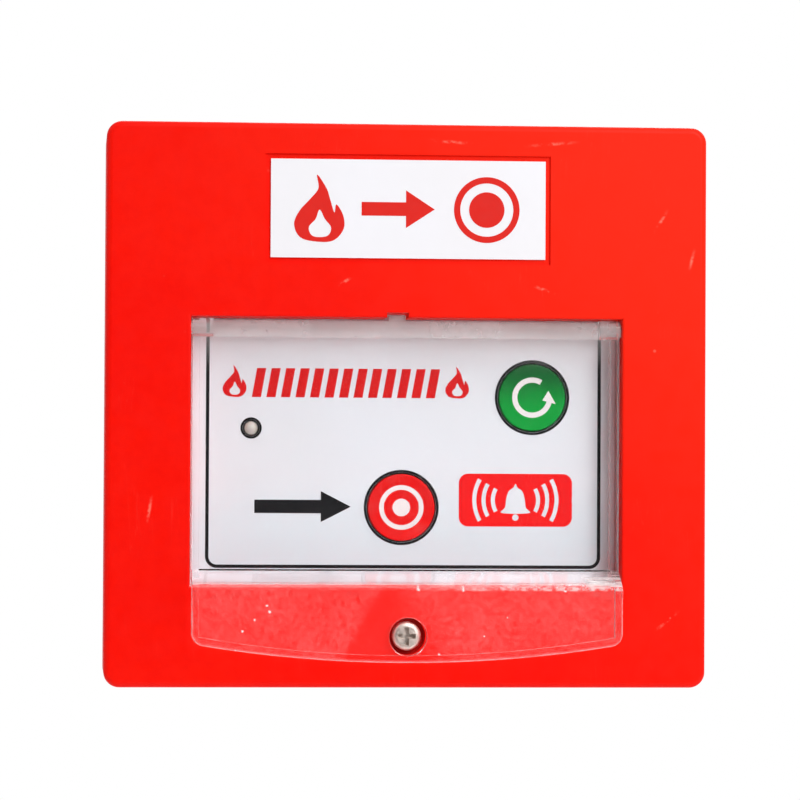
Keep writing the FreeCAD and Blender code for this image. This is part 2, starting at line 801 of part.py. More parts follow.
def make_panel_plate():
    body = new_body("panel_plate")
    sheet = new_sketch(body, "XZ_Plane", "plate_back")
    add_rectangle(sheet, "-plate_half", "plate_half", "plate_bottom", "plate_top")
    pad(body, sheet, "reveal_back - plate_back")
    collars = new_sketch(body, "XZ_Plane", "collar_back")
    for _, x, z in KEYS:
        add_circle(collars, x, z, "key_radius + key_gap + collar_wall")
    pad(body, collars, "reveal_back - collar_back - sink")
    posts = new_sketch(body, "XZ_Plane", "board_front")
    for x, z in BOARD_POSTS:
        add_circle(posts, x, z, "board_post_radius")
    pad(body, posts, "reveal_back - board_front - sink")

    openings = new_sketch(body, "XZ_Plane", "reveal_back")
    for _, x, z in KEYS:
        add_circle(openings, x, z, "key_radius + key_gap")
    add_circle(openings, "lamp_x", "lamp_z", "lamp_hole")
    for x, z in PLATE_SCREWS:
        add_circle(openings, x, z, "tapping_radius + hole_play")
    pocket(body, openings, "reveal_back - collar_back")
    post_bores = new_sketch(body, "XZ_Plane", "board_front")
    for x, z in BOARD_POSTS:
        add_circle(post_bores, x, z, "board_screw_radius")
    pocket(body, post_bores, "board_screw_bore", forward=True)


def make_panel_overlay():
    """Printed front film of the key panel, inside the window."""
    body = new_body("panel_overlay")
    film = new_sketch(body, "XZ_Plane", "reveal_back")
    add_rectangle(film, "-window_half + overlay_inset", "window_half - overlay_inset",
                  "window_bottom + overlay_inset", "window_top - overlay_inset")
    for _, x, z in KEYS:
        add_circle(film, x, z, "key_radius + key_gap")
    add_circle(film, "lamp_x", "lamp_z", "lamp_hole")
    pad(body, film, "overlay_thickness")


def make_screw_sets():
    """Screws of the key panel and of the circuit board, all put in from behind."""
    panel = [cross_screw("panel_screw_%d" % i, x, z, "plate_back", ("plate_screw_head", "plate_screw_rise"),
                         ("tapping_radius", "plate_screw_length"), facing=-1)
             for i, (x, z) in enumerate(PLATE_SCREWS)]
    node(group("panel_screw_set", panel), "panel_screws")
    board = [cross_screw("board_screw_%d" % i, x, z, "board_back", ("board_screw_head", "board_screw_rise"),
                         ("board_screw_radius", "board_screw_length"), facing=-1)
             for i, (x, z) in enumerate(BOARD_POSTS)]
    node(group("board_screw_set", board), "board_screws")


# ---------------------------------------------------------------- keys and switches

def make_key(name, x, z):
    """One sprung key: switch base with pins, sliding stem with a flange, spring and cap."""
    half = "switch_half"
    floor_front = "(board_front + switch_floor)"
    roof_back = "(switch_front - switch_floor)"

    case = block(name + "_case", (x + " - " + half, x + " + " + half), ("board_front", "switch_front"),
                 (z + " - " + half, z + " + " + half))
    cavity = rod(name + "_cavity", x, z, (floor_front, roof_back), "switch_cavity")
    guide = rod(name + "_guide", x, z, (roof_back + " - sink", "switch_front + sink"),
                "stem_radius + stem_play")
    node(cut(name + "_base", case, [cavity, guide]), name + "_switch_base")

    pins = [rod("%s_pin_%d" % (name, i), x + dx, z + dz, ("lead_end", "board_front"), "switch_pin_radius")
            for i, (dx, dz) in enumerate(SWITCH_PIN_OFFSETS)]
    node(group(name + "_pins", pins), name + "_switch_pins")

    flange = rod(name + "_flange", x, z, ("flange_back", "flange_front"), "flange_radius")
    stem = rod(name + "_stem", x, z, ("flange_front - stem_lap", "stem_front"), "stem_radius")
    node(fuse(name + "_plunger", [flange, stem]), name + "_switch_plunger")

    disc_solid = rod(name + "_disc", x, z, ("key_back", "key_front"), "key_radius")
    doc.recompute()
    rounded = doc.addObject("Part::Fillet", name + "_disc_round")
    rounded.Base = disc_solid
    front = -size("key_front")
    edge_radius = size("key_edge")
    rounded.Edges = [(i + 1, edge_radius, edge_radius) for i, edge in enumerate(disc_solid.Shape.Edges)
                     if len(edge.Vertexes) == 1 and abs(edge.CenterOfMass.y - front) < SAME_RIM]
    groove_outer = rod(name + "_groove_outer", x, z, ("key_back - 1", "key_back + key_hollow"),
                       "key_radius - key_wall")
    groove_inner = rod(name + "_groove_inner", x, z, ("key_back - 2", "key_back + key_hollow + 1"),
                       "stem_radius + socket_wall")
    groove = cut(name + "_groove", groove_outer, [groove_inner])
    socket = rod(name + "_socket", x, z, ("key_back - 1", "stem_front"), "stem_radius")
    node(cut(name + "_cap", rounded, [groove, socket]), name + "_key_cap")

    node(make_spring(name, size(x), size(z)), name + "_switch_spring")


SWITCH_PIN_OFFSETS = [(dx + "switch_pin_x", dz + "switch_pin_z") for dx in (" - ", " + ") for dz in (" - ", " + ")]


def make_spring(name, x, z):
    """Coil spring between the floor of the switch and the flange of its stem, its ends towards -Z."""
    wire = size("spring_wire")
    low = size("board_front") + size("switch_floor") + wire + size("spring_play")
    high = size("flange_back") - wire - size("spring_play")
    helix = Part.makeHelix((high - low) / size("spring_turns"), high - low, size("spring_mean"))
    start = Vector(size("spring_mean"), 0, 0)
    section = Part.Wire(Part.makeCircle(wire, start, Vector(0, 1, 0)))
    coil = Part.Wire(helix).makePipeShell([section], True, True)
    spring = doc.addObject("Part::Feature", name + "_coil")
    spring.Shape = coil
    lie_down = Rotation(Vector(1, 0, 0), 90)
    quarter_back = Rotation(Vector(0, 0, 1), 270)
    spring.Placement = Placement(Vector(x, -low, z), lie_down * quarter_back)
    return spring


# ---------------------------------------------------------------- circuit board and its parts

RESISTOR_ROWS = (4, -1, -6)
RESISTOR_X = -19
RESISTOR_REACH = 5.08
DIODE_PLACE = (8, -7)
DIODE_REACH = 3.81
THYRISTOR_PLACE = (-6, 5)
CAPACITOR_PLACE = (6, 4)
TERMINAL_STEPS = (-1.5, -0.5, 0.5, 1.5)
LEAD_STEP = 1.27
RESISTOR_HALF, RESISTOR_RADIUS = 3.1, 1.05
RESISTOR_END_PLACE, RESISTOR_END_HALF, RESISTOR_END_RADIUS = 2.4, 0.7, 1.25
DIODE_HALF, DIODE_RADIUS = 2, 1.0


def make_circuit_board():
    body = new_body("circuit_board")
    sheet = new_sketch(body, "XZ_Plane", "board_back")
    add_rectangle(sheet, "-board_half", "board_half", "board_bottom", "board_top")
    pad(body, sheet, "board_front - board_back")
    holes = new_sketch(body, "XZ_Plane", "board_front")
    for x, z in BOARD_POSTS:
        add_circle(holes, x, z, "board_screw_radius + hole_play")
    for _, x, z in KEYS:
        for dx, dz in SWITCH_PIN_OFFSETS:
            add_circle(holes, x + dx, z + dz, "switch_pin_radius + pin_play")
    for dx in (-LEAD_STEP, LEAD_STEP):
        add_circle(holes, "lamp_x + (%s)" % dx, "lamp_z", "lead_radius + lead_play")
    for step in TERMINAL_STEPS:
        add_circle(holes, "%s * terminal_pitch" % step, "terminal_pin_z", "terminal_pin_hole")
    leads = [(RESISTOR_X + side * RESISTOR_REACH, row) for side in (-1, 1) for row in RESISTOR_ROWS]
    leads += [(DIODE_PLACE[0] + side * DIODE_REACH, DIODE_PLACE[1]) for side in (-1, 1)]
    leads += [(THYRISTOR_PLACE[0] + offset, THYRISTOR_PLACE[1]) for offset in (-LEAD_STEP, 0, LEAD_STEP)]
    leads += [(CAPACITOR_PLACE[0] + offset, CAPACITOR_PLACE[1]) for offset in (-1, 1)]
    for x, z in leads:
        add_circle(holes, x, z, "lead_radius + lead_play")
    pocket(body, holes, "board_front - board_back")


def make_lamp():
    """Indicator lamp on a spacer, its dome just proud of the key panel."""
    shoulder = "(lamp_back + lamp_flange)"
    dome = "(lamp_front - lamp_radius)"
    parts = [
        rod("lamp_flange", "lamp_x", "lamp_z", ("lamp_back", shoulder), "lamp_radius + lamp_rim"),
        rod("lamp_tube", "lamp_x", "lamp_z", (shoulder + " - lamp_lap", dome), "lamp_radius"),
        ball("lamp_dome", "lamp_x", dome, "lamp_z", "lamp_radius"),
    ]
    node(fuse("lamp", parts), "led_lamp")
    tube = rod("spacer_tube", "lamp_x", "lamp_z", ("board_front", "lamp_back"), "spacer_radius")
    bores = [rod("spacer_bore_%d" % i, "lamp_x + (%s)" % dx, "lamp_z", ("board_front - 1", "lamp_back + 1"),
                 "lead_radius + lamp_lead_play") for i, dx in enumerate((-LEAD_STEP, LEAD_STEP))]
    node(cut("spacer", tube, bores), "led_spacer")
    leads = [rod("lamp_lead_%d" % i, "lamp_x + (%s)" % dx, "lamp_z", ("lead_end", "lamp_back"), "lead_radius")
             for i, dx in enumerate((-LEAD_STEP, LEAD_STEP))]
    node(group("lamp_leads", leads), "led_leads")


def axial_leads(name, x, z, body_half, reach, height):
    """Two bent leads of a lying part: out of each end, round the corner and through the board."""
    leads = []
    for tag, side in (("left", -1), ("right", 1)):
        inner, outer = sorted((x + side * body_half, x + side * reach))
        flat = cross_rod("%s_%s_flat" % (name, tag), (inner, outer), height, z, "lead_radius")
        bend = ball("%s_%s_bend" % (name, tag), x + side * reach, height, z, "lead_radius")
        down = rod("%s_%s_down" % (name, tag), x + side * reach, z, ("lead_end", height), "lead_radius")
        leads.append(fuse("%s_%s" % (name, tag), [flat, bend, down]))
    return leads


def make_axial_parts():
    """Three resistors and a diode, lying on the front of the board."""
    height = "(board_front + axial_rise)"
    bodies = []
    leads = []
    for i, row in enumerate(RESISTOR_ROWS):
        shapes = [cross_rod("resistor_core_%d" % i, (RESISTOR_X - RESISTOR_HALF, RESISTOR_X + RESISTOR_HALF),
                            height, row, RESISTOR_RADIUS)]
        for side in (-1, 1):
            middle = RESISTOR_X + side * RESISTOR_END_PLACE
            shapes.append(cross_rod("resistor_end_%d_%d" % (i, side > 0),
                                    (middle - RESISTOR_END_HALF, middle + RESISTOR_END_HALF),
                                    height, row, RESISTOR_END_RADIUS))
        bodies.append(fuse("resistor_%d" % i, shapes))
        leads += axial_leads("resistor_lead_%d" % i, RESISTOR_X, row, RESISTOR_HALF, RESISTOR_REACH, height)
    node(group("resistor_set", bodies), "resistors")
    node(group("resistor_lead_set", leads), "resistor_leads")
    x, z = DIODE_PLACE
    node(cross_rod("diode_case", (x - DIODE_HALF, x + DIODE_HALF), height, z, DIODE_RADIUS), "diode")
    leads = axial_leads("diode_lead", x, z, DIODE_HALF, DIODE_REACH, height)
    node(group("diode_lead_set", leads), "diode_leads")


def make_upright_parts():
    """Thyristor and capacitor, standing on the front of the board."""
    x, z = THYRISTOR_PLACE
    low = "(board_front + thyristor_rise)"
    case = rod("thyristor_case", x, z, (low, low + " + thyristor_length"), "thyristor_radius")
    flat = block("thyristor_flat", ("%d - thyristor_radius - 1" % x, "%d + thyristor_radius + 1" % x),
                 (low + " - 1", low + " + thyristor_length + 1"),
                 ("%d + thyristor_flat" % z, "%d + thyristor_radius + 1" % z))
    node(cut("thyristor_body", case, [flat]), "thyristor")
    leads = [rod("thyristor_lead_%d" % i, x + dx, z, ("lead_end", low), "upright_lead")
             for i, dx in enumerate((-LEAD_STEP, 0, LEAD_STEP))]
    node(group("thyristor_lead_set", leads), "thyristor_leads")

    x, z = CAPACITOR_PLACE
    low = "(board_front + capacitor_rise)"
    can = rod("capacitor_can", x, z, (low, low + " + capacitor_length"), "capacitor_radius")
    neck_outer = rod("capacitor_neck_outer", x, z, (low + " + crimp_low", low + " + crimp_high"),
                     "capacitor_radius + 1")
    neck_inner = rod("capacitor_neck_inner", x, z, (low, low + " + crimp_high + 1"), "crimp_radius")
    node(cut("capacitor_body", can, [cut("capacitor_neck", neck_outer, [neck_inner])]), "capacitor")
    leads = [rod("capacitor_lead_%d" % i, x + dx, z, ("lead_end", low), "upright_lead")
             for i, dx in enumerate((-1, 1))]
    node(group("capacitor_lead_set", leads), "capacitor_leads")


def make_terminal_block():
    """Four-way screw terminal on the back of the board, wire holes facing down."""
    body = block("terminal_body", ("-terminal_half", "terminal_half"), ("terminal_back", "board_back"),
                 ("terminal_bottom", "terminal_top"))
    cage_back = "(terminal_back + cage_start)"
    cage_front = "(terminal_back + cage_end)"
    tools, clamps, screws, pins = [], [], [], []
    for i, step in enumerate(TERMINAL_STEPS):
        x = "(%s * terminal_pitch)" % step
        z = "terminal_pin_z"
        tools.append(block("wire_pocket_%d" % i, (x + " - wire_half", x + " + wire_half"),
                           (cage_back + " - cage_play", cage_front + " + cage_play"),
                           ("terminal_bottom - 1", z + " + wire_rise")))
        tools.append(rod("screw_well_%d" % i, x, z, ("terminal_back - 1", cage_back), "screw_well"))
        tools.append(rod("pin_way_%d" % i, x, z, (cage_front, "board_back + 1"), "terminal_pin_way"))

        outer = block("cage_outer_%d" % i, (x + " - cage_half", x + " + cage_half"), (cage_back, cage_front),
                      (z + " - cage_drop", z + " + cage_rise"))
        inner = block("cage_inner_%d" % i, (x + " - cage_way_half", x + " + cage_way_half"),
                      (cage_back + " + cage_back_wall", cage_front + " - cage_front_wall"),
                      (z + " - cage_drop - 1", z + " + cage_rise + 1"))
        thread = rod("cage_thread_%d" % i, x, z, (cage_back + " - 1", cage_back + " + 1"), "clamp_thread")
        clamps.append(cut("cage_%d" % i, outer, [inner, thread]))

        head = rod("clamp_head_%d" % i, x, z,
                   ("terminal_back + clamp_head_start", "terminal_back + clamp_head_end"), "clamp_head_radius")
        shank = rod("clamp_shank_%d" % i, x, z,
                    ("terminal_back + clamp_shank_start", cage_back + " + clamp_shank_end"),
                    "clamp_shank_radius")
        slot = block("clamp_slot_%d" % i, (x + " - clamp_head_radius - 1", x + " + clamp_head_radius + 1"),
                     ("terminal_back - sink", "terminal_back + clamp_slot_depth"),
                     (z + " - clamp_slot_half", z + " + clamp_slot_half"))
        screws.append(cut("clamp_screw_%d" % i, fuse("clamp_blank_%d" % i, [head, shank]), [slot]))
        pins.append(rod("terminal_pin_%d" % i, x, z, (cage_front, "board_front + terminal_pin_rise"),
                        "terminal_pin_radius"))
    node(cut("terminal", body, tools), "terminal_block")
    node(group("cage_set", clamps), "terminal_clamps")
    node(group("clamp_screw_set", screws), "terminal_screws")
    node(group("terminal_pin_set", pins), "terminal_pins")


# ---------------------------------------------------------------- build, check and export

make_back_box()
make_entry_plug()
make_front_cover()
make_label()
make_cover_fastening()
make_flap()
make_panel_plate()
make_panel_overlay()
make_screw_sets()
for key_name, key_x, key_z in KEYS:
    make_key(key_name, key_x, key_z)
make_circuit_board()
make_lamp()
make_axial_parts()
make_upright_parts()
make_terminal_block()
doc.recompute()

for item in doc.Objects:
    if "Invalid" in item.State or "Error" in item.State:
        raise RuntimeError("%s failed: %s" % (item.Label, item.State))
for item in NODES:
    if item.Shape.isNull() or not item.Shape.isValid():
        raise RuntimeError("%s has no valid shape" % item.Label)

os.makedirs("parts", exist_ok=True)
for item in NODES:
    item.Shape.exportStep("parts/%s.step" % item.Label)
    box = item.Shape.BoundBox
    print("%-22s solids %d  volume %9.2f  x %7.2f..%7.2f  y %7.2f..%7.2f  z %7.2f..%7.2f" % (
        item.Label, len(item.Shape.Solids), item.Shape.Volume,
        box.XMin, box.XMax, box.YMin, box.YMax, box.ZMin, box.ZMax))
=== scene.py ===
import math

import bpy
from mathutils import Matrix, Vector


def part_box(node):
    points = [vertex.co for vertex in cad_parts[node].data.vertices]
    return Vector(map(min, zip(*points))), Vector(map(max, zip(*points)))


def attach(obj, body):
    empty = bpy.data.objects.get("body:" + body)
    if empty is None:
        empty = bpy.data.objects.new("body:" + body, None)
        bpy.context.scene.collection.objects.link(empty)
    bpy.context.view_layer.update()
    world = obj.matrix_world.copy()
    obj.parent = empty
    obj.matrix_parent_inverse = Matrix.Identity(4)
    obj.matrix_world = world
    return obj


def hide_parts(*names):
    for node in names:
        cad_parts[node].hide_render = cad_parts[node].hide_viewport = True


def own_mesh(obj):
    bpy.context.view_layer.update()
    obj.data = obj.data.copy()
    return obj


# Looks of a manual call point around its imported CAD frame. Metres, X right, Z up, front towards -Y.
# Sizes in the printed artwork and in the lists of marks are millimetres and pass through MM.

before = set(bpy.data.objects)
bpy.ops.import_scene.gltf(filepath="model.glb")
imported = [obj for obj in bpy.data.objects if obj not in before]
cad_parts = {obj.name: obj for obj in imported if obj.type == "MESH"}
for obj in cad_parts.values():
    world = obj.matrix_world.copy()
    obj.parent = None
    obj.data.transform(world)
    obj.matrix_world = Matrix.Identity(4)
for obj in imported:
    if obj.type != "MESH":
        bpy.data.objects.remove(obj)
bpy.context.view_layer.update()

MM = 0.001
FRONT = -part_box("front_cover")[0][1]
FILM_FACE = -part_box("panel_overlay")[0][1]
LABEL_FACE = -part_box("top_label")[0][1]
KEY_FACE = -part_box("press_key_cap")[0][1]


def middle(node):
    low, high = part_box(node)
    return [(a + b) / 2 for a, b in zip(low, high)]


def middle_mm(node):
    """A node's middle as seen from the front, x and z in millimetres."""
    x, _, z = middle(node)
    return x / MM, z / MM


# ---------------------------------------------------------------- colours

def srgb(red, green, blue):
    """Linear colour from 0-255 display values, by the sRGB standard's curve."""
    def straight(value):
        value /= 255
        return value / 12.92 if value <= 0.04045 else ((value + 0.055) / 1.055) ** 2.4
    return (straight(red), straight(green), straight(blue), 1.0)


def scaled(color, factor, lift=0.0):
    return tuple(factor * channel + lift for channel in color[:3]) + (1.0,)


WHITE = (1.0, 1.0, 1.0, 1.0)
BLACK = (0.0, 0.0, 0.0, 1.0)


# ---------------------------------------------------------------- shader building

class Shader:
    """One material's node tree, with short calls for the nodes used in this file."""

    def __init__(self, name):
        self.material = bpy.data.materials.new(name)
        self.material.use_nodes = True
        self.tree = self.material.node_tree
        self.tree.nodes.clear()
        self.output = self.add("ShaderNodeOutputMaterial")
        self.place = self.add("ShaderNodeTexCoord").outputs["Object"]

    def add(self, kind, inputs=None, **settings):
        node = self.tree.nodes.new(kind)
        for key, value in settings.items():
            setattr(node, key, value)
        for key, value in (inputs or {}).items():
            self.feed(node.inputs[key], value)
        return node

    def feed(self, socket, value):
        if isinstance(value, bpy.types.NodeSocket):
            self.tree.links.new(value, socket)
        else:
            socket.default_value = value

    def calc(self, kind, first, second=0.0, clamp=False):
        return self.add("ShaderNodeMath", {0: first, 1: second}, operation=kind, use_clamp=clamp).outputs[0]

    def plus(self, first, second, clamp=False):
        return self.calc("ADD", first, second, clamp)

    def minus(self, first, second):
        return self.calc("SUBTRACT", first, second)

    def times(self, first, second):
        return self.calc("MULTIPLY", first, second)

    def larger(self, first, second):
        return self.calc("MAXIMUM", first, second)

    def size(self, value):
        return self.calc("ABSOLUTE", value)

    def noise(self, scale, detail=3.0, rough=0.55, place=None):
        inputs = {"Vector": place or self.place, "Scale": scale, "Detail": detail, "Roughness": rough}
        return self.add("ShaderNodeTexNoise", inputs).outputs["Fac"]

    def cells(self, scale, place=None, feature="F1"):
        inputs = {"Vector": place or self.place, "Scale": scale}
        return self.add("ShaderNodeTexVoronoi", inputs, feature=feature).outputs["Distance"]

    def stretch(self, scale, turn=(0.0, 0.0, 0.0), shift=(0.0, 0.0, 0.0)):
        inputs = {"Vector": self.place, "Scale": scale, "Rotation": turn, "Location": shift}
        return self.add("ShaderNodeMapping", inputs).outputs[0]

    def axis(self, name, place=None):
        return self.add("ShaderNodeSeparateXYZ", {0: place or self.place}).outputs[name]

    def facing(self, name):
        """How squarely the surface faces along one axis, from 0 to 1."""
        normal = self.add("ShaderNodeTexCoord").outputs["Normal"]
        return self.size(self.axis(name, normal))

    def reach(self, x, z):
        """Distance from a line along Y through x, z."""
        place = self.add("ShaderNodeCombineXYZ", {0: self.axis("X"), 1: 0.0, 2: self.axis("Z")}).outputs[0]
        gap = self.add("ShaderNodeVectorMath", {0: place, 1: (x, 0, z)}, operation="DISTANCE")
        return gap.outputs["Value"]

    def fade(self, value, low, high, out_low=0.0, out_high=1.0):
        """Map value from low..high to out_low..out_high, smoothly and held at both ends."""
        inputs = {"Value": value, "From Min": low, "From Max": high, "To Min": out_low, "To Max": out_high}
        settings = {"interpolation_type": "SMOOTHSTEP", "clamp": True}
        return self.add("ShaderNodeMapRange", inputs, **settings).outputs[0]

    def spread(self, noise, out_low=0.0, out_high=1.0):
        """Map the range where most of a noise's values lie to out_low..out_high."""
        low, high = 0.3, 0.7
        return self.fade(noise, low, high, out_low, out_high)

    def mix(self, factor, first, second):
        node = self.add("ShaderNodeMix", data_type="RGBA", blend_type="MIX")
        for index, value in ((0, factor), (6, first), (7, second)):
            self.feed(node.inputs[index], value)
        return node.outputs[2]

    def bump(self, height, strength, distance, normal=None):
        inputs = {"Height": height, "Strength": strength, "Distance": distance}
        if normal is not None:
            inputs["Normal"] = normal
        return self.add("ShaderNodeBump", inputs).outputs[0]

    def principled(self, **values):
        names = {
            "color": "Base Color", "rough": "Roughness", "metal": "Metallic", "normal": "Normal",
            "ior": "IOR", "clear": "Transmission Weight", "shine": "Specular IOR Level",
            "inner": "Subsurface Weight", "inner_scale": "Subsurface Scale",
        }
        return self.add("ShaderNodeBsdfPrincipled", {names[k]: v for k, v in values.items()}).outputs[0]

    def finish(self, surface):
        self.feed(self.output.inputs["Surface"], surface)
        return self.material


def scratch_lines(shader, turn, density, width, seed):
    """Sparse thin lines along one direction, in patches: 1 on a scratch, 0 elsewhere."""
    shift = (0.011 * seed, 0.007 * seed, 0.013 * seed)
    slimness = 14
    scale = (density * slimness, density * slimness, density)
    fine = shader.noise(1.0, 2.0, 0.5, shader.stretch(scale, turn, shift))
    line = shader.fade(shader.size(shader.minus(fine, 0.5)), width, 0.0)
    patch = shader.noise(45.0 + 5 * seed, 2.0, 0.5, shader.stretch((1, 1, 1), shift=shift))
    return shader.times(line, shader.fade(patch, 0.56, 0.68))


def crossed_scratches(shader, first, second):
    """Two sets of scratch lines, each given as turn, density, width and seed."""
    return shader.larger(scratch_lines(shader, *first), scratch_lines(shader, *second))


# ---------------------------------------------------------------- materials

def moulded(name, color, rough=0.38, shade=0.12, grain=0.10, shine=0.4, dust=0.05, scratches=0.3):
    """Injection-moulded plastic: slow colour drift, fine grain, faint dust and hairline scratches."""
    shader = Shader(name)
    drift = shader.noise(38.0, 4.0, 0.6)
    fine = shader.noise(900.0, 3.0, 0.6)
    tone = shader.mix(shader.spread(drift), scaled(color, 1 - shade), color)
    lines = crossed_scratches(shader, ((0.2, 0.5, 0.3), 60, 0.012, 1), ((0.1, 2.1, 0.6), 50, 0.010, 2))
    tone = shader.mix(shader.times(lines, scratches), tone, scaled(color, 0.75, 0.25))
    film = shader.times(shader.fade(shader.noise(140.0, 5.0, 0.7), 0.45, 0.75), dust)
    tone = shader.mix(film, tone, srgb(214, 206, 200))
    roughness = shader.spread(fine, rough - 0.05, rough + 0.06)
    roughness = shader.plus(roughness, shader.times(lines, 0.15), clamp=True)
    normal = shader.bump(shader.noise(520.0, 2.0, 0.5), grain, 0.00006)
    normal = shader.bump(lines, 0.25, -0.00003, normal)
    return shader.finish(shader.principled(color=tone, rough=roughness, normal=normal, shine=shine))


# Light rub marks on the front cover: middle (x, z), length and turn, in millimetres and degrees.
RUBS = (
    ((8.0, 50.4), 9.5, -4.0),
    ((27.5, 50.2), 11.5, 5.0),
    ((-12.0, 23.6), 4.0, 35.0),
    ((26.0, 22.3), 5.5, -20.0),
    ((48.6, 35.6), 6.0, 60.0),
    ((54.6, 28.2), 5.0, 75.0),
    ((-49.0, -20.0), 6.0, 80.0),
    ((50.0, -41.0), 7.0, 40.0),
)
RUB_HALF_WIDTH = 0.45


def rub_mask(shader):
    """Soft broken streaks at the rub marks: 1 on a mark, 0 elsewhere."""
    total = 0.0
    broken = shader.fade(shader.noise(700.0, 3.0, 0.7), 0.42, 0.62)
    for (x, z), length, turn in RUBS:
        angle = math.radians(turn)
        centred = shader.add("ShaderNodeVectorMath", {0: shader.place, 1: (x * MM, 0, z * MM)},
                             operation="SUBTRACT").outputs[0]
        turned = shader.add("ShaderNodeVectorRotate", {"Vector": centred, "Angle": angle},
                            rotation_type="Y_AXIS").outputs[0]
        along = shader.size(shader.axis("X", turned))
        across = shader.size(shader.axis("Z", turned))
        streak = shader.times(shader.fade(along, length * MM / 2, 0.0),
                              shader.fade(across, RUB_HALF_WIDTH * MM, 0.0))
        total = shader.larger(total, streak)
    return shader.times(total, broken)


def cover_red():
    """Glossy red cover: grainy, rubbed, faintly scratched and specked, with a painted sheen that lightens
    it towards its upper right corner and painted shade that darkens the seat of the closing screw."""
    shader = Shader("cover_red")
    drift = shader.noise(22.0, 3.0, 0.55)
    grain = shader.noise(420.0, 4.0, 0.7)
    tone = shader.mix(shader.spread(drift), srgb(250, 14, 3), srgb(254, 20, 3))
    tone = shader.mix(shader.fade(grain, 0.35, 0.7, 0.0, 0.35), tone, srgb(243, 6, 2))
    # Painted sheen: lighter towards the upper right corner, as if lit from there.
    corner = shader.plus(shader.axis("X"), shader.axis("Z"))
    painted_sheen = shader.fade(shader.plus(corner, shader.times(drift, 0.02)), -0.02, 0.11)
    tone = shader.mix(painted_sheen, tone, srgb(253, 38, 12))
    speck = shader.fade(shader.cells(260.0), 0.10, 0.05)
    speck = shader.times(speck, shader.fade(shader.noise(90.0), 0.60, 0.72))
    rubs = rub_mask(shader)
    lines = crossed_scratches(shader, ((0.0, 0.7, 0.0), 55, 0.010, 3), ((0.0, 2.2, 0.0), 40, 0.009, 4))
    for mask, weight in ((rubs, 0.55), (lines, 0.03), (speck, 0.25)):
        tone = shader.mix(shader.times(mask, weight), tone, srgb(255, 150, 128))
    # Painted shade: a dark ring in the seat of the closing screw, where the seat's wall shades it.
    x, _, z = middle("cover_screw")
    seat_rim, seat = 0.0037, 0.0034
    tone = shader.mix(shader.fade(shader.reach(x, z), seat_rim, seat, 0.0, 0.7), tone, srgb(96, 8, 8))
    roughness = shader.spread(shader.noise(300.0, 4.0, 0.6), 0.36, 0.46)
    roughness = shader.plus(roughness, shader.times(rubs, 0.25), clamp=True)
    normal = shader.bump(shader.noise(240.0, 2.0, 0.5), 0.12, 0.00008)
    normal = shader.bump(shader.noise(2600.0, 2.0, 0.5), 0.10, 0.00002, normal)
    normal = shader.bump(lines, 0.2, -0.00002, normal)
    return shader.finish(shader.principled(color=tone, rough=roughness, normal=normal, shine=0.10))


# Dust specks and small chips on the clear flap: middle (x, z) and radius, in millimetres.
SPECKS = (
    ((-26.3, -39.3), 0.34),
    ((-26.8, -38.1), 0.24),
    ((-29.1, -40.8), 0.24),
    ((-31.4, -42.9), 0.28),
    ((-32.7, -46.6), 0.30),
    ((1.9, -35.0), 0.36),
    ((5.9, -47.2), 0.22),
    ((10.5, -35.1), 0.22),
    ((30.0, -35.2), 0.26),
    ((19.0, -40.2), 0.16),
    ((14.5, -43.8), 0.15),
)


def speck_mask(shader):
    """Round specks with ragged edges: 1 on a speck, 0 elsewhere."""
    total = 0.0
    raggedness = 0.0006
    ragged = shader.times(shader.minus(shader.noise(2200.0, 2.0, 0.6), 0.5), raggedness)
    for (x, z), radius in SPECKS:
        gap = shader.plus(shader.reach(x * MM, z * MM), ragged)
        spot = shader.fade(gap, radius * MM, radius * MM * 0.3)
        total = shader.larger(total, spot)
    return total


def skirt_haze_and_reflection(shader, across, height, skirt, cloud):
    """Haze on the flap's skirt, partly gritty dust and partly a painted reflection of the pale
    surroundings, thin in a wedge round the screw that widens downwards. The wedge is sharp at its left side
    and soft at its right."""
    left_lean, right_lean = -0.56, 0.55
    left_edge = shader.plus(across, shader.times(height, left_lean))
    left_haze = shader.fade(left_edge, 0.0160, 0.0125)
    right_edge = shader.plus(across, shader.times(height, right_lean))
    right_haze = shader.fade(right_edge, -0.0260, -0.0130)
    haze = shader.larger(left_haze, right_haze)
    thin, thick = 0.006, 0.036
    dust_and_light = shader.times(shader.times(skirt, cloud), shader.fade(haze, 0.0, 1.0, thin, thick))
    return shader.times(dust_and_light, shader.spread(shader.noise(1100.0, 3.0, 0.7), 0.1, 1.9))


def rim_highlight(shader, skirt):
    """Painted highlight that brightens the skirt's rim, weaker round the hole for the closing screw."""
    edge = shader.fade(shader.facing("Y"), 0.97, 0.6)
    patchy = shader.fade(shader.noise(350.0, 4.0, 0.7), 0.35, 0.65, 0.12, 0.42)
    edge = shader.times(shader.times(edge, skirt), patchy)
    x, _, z = middle("cover_screw")
    hole, clear_of_hole = 0.0038, 0.0046
    return shader.times(edge, shader.fade(shader.reach(x, z), hole, clear_of_hole, 0.15, 1.0))


def bend_glints(shader, across, height):
    """Painted glints along the bend above the skirt, more of them towards the right."""
    bend_below = 0.0347
    bend = shader.size(shader.plus(height, bend_below))
    broken = shader.fade(shader.noise(520.0, 4.0), 0.42, 0.6)
    glint = shader.times(shader.fade(bend, 0.0007, 0.0002), broken)
    few, many = 0.06, 0.55
    return shader.times(glint, shader.fade(across, -0.004, 0.034, few, many))


def corner_glint(shader, across, height):
    """Painted glint: white streaks along X in the lower right corner, just above the bend."""
    corner_below = 0.0339
    streak = shader.noise(900.0, 3.0, 0.6, shader.stretch((0.15, 1.0, 1.0)))
    streak = shader.fade(streak, 0.42, 0.58, 0.15, 0.8)
    off_corner = shader.size(shader.plus(height, corner_below))
    corner = shader.times(shader.fade(across, 0.0335, 0.0355), shader.fade(off_corner, 0.0010, 0.0005))
    return shader.times(corner, streak)


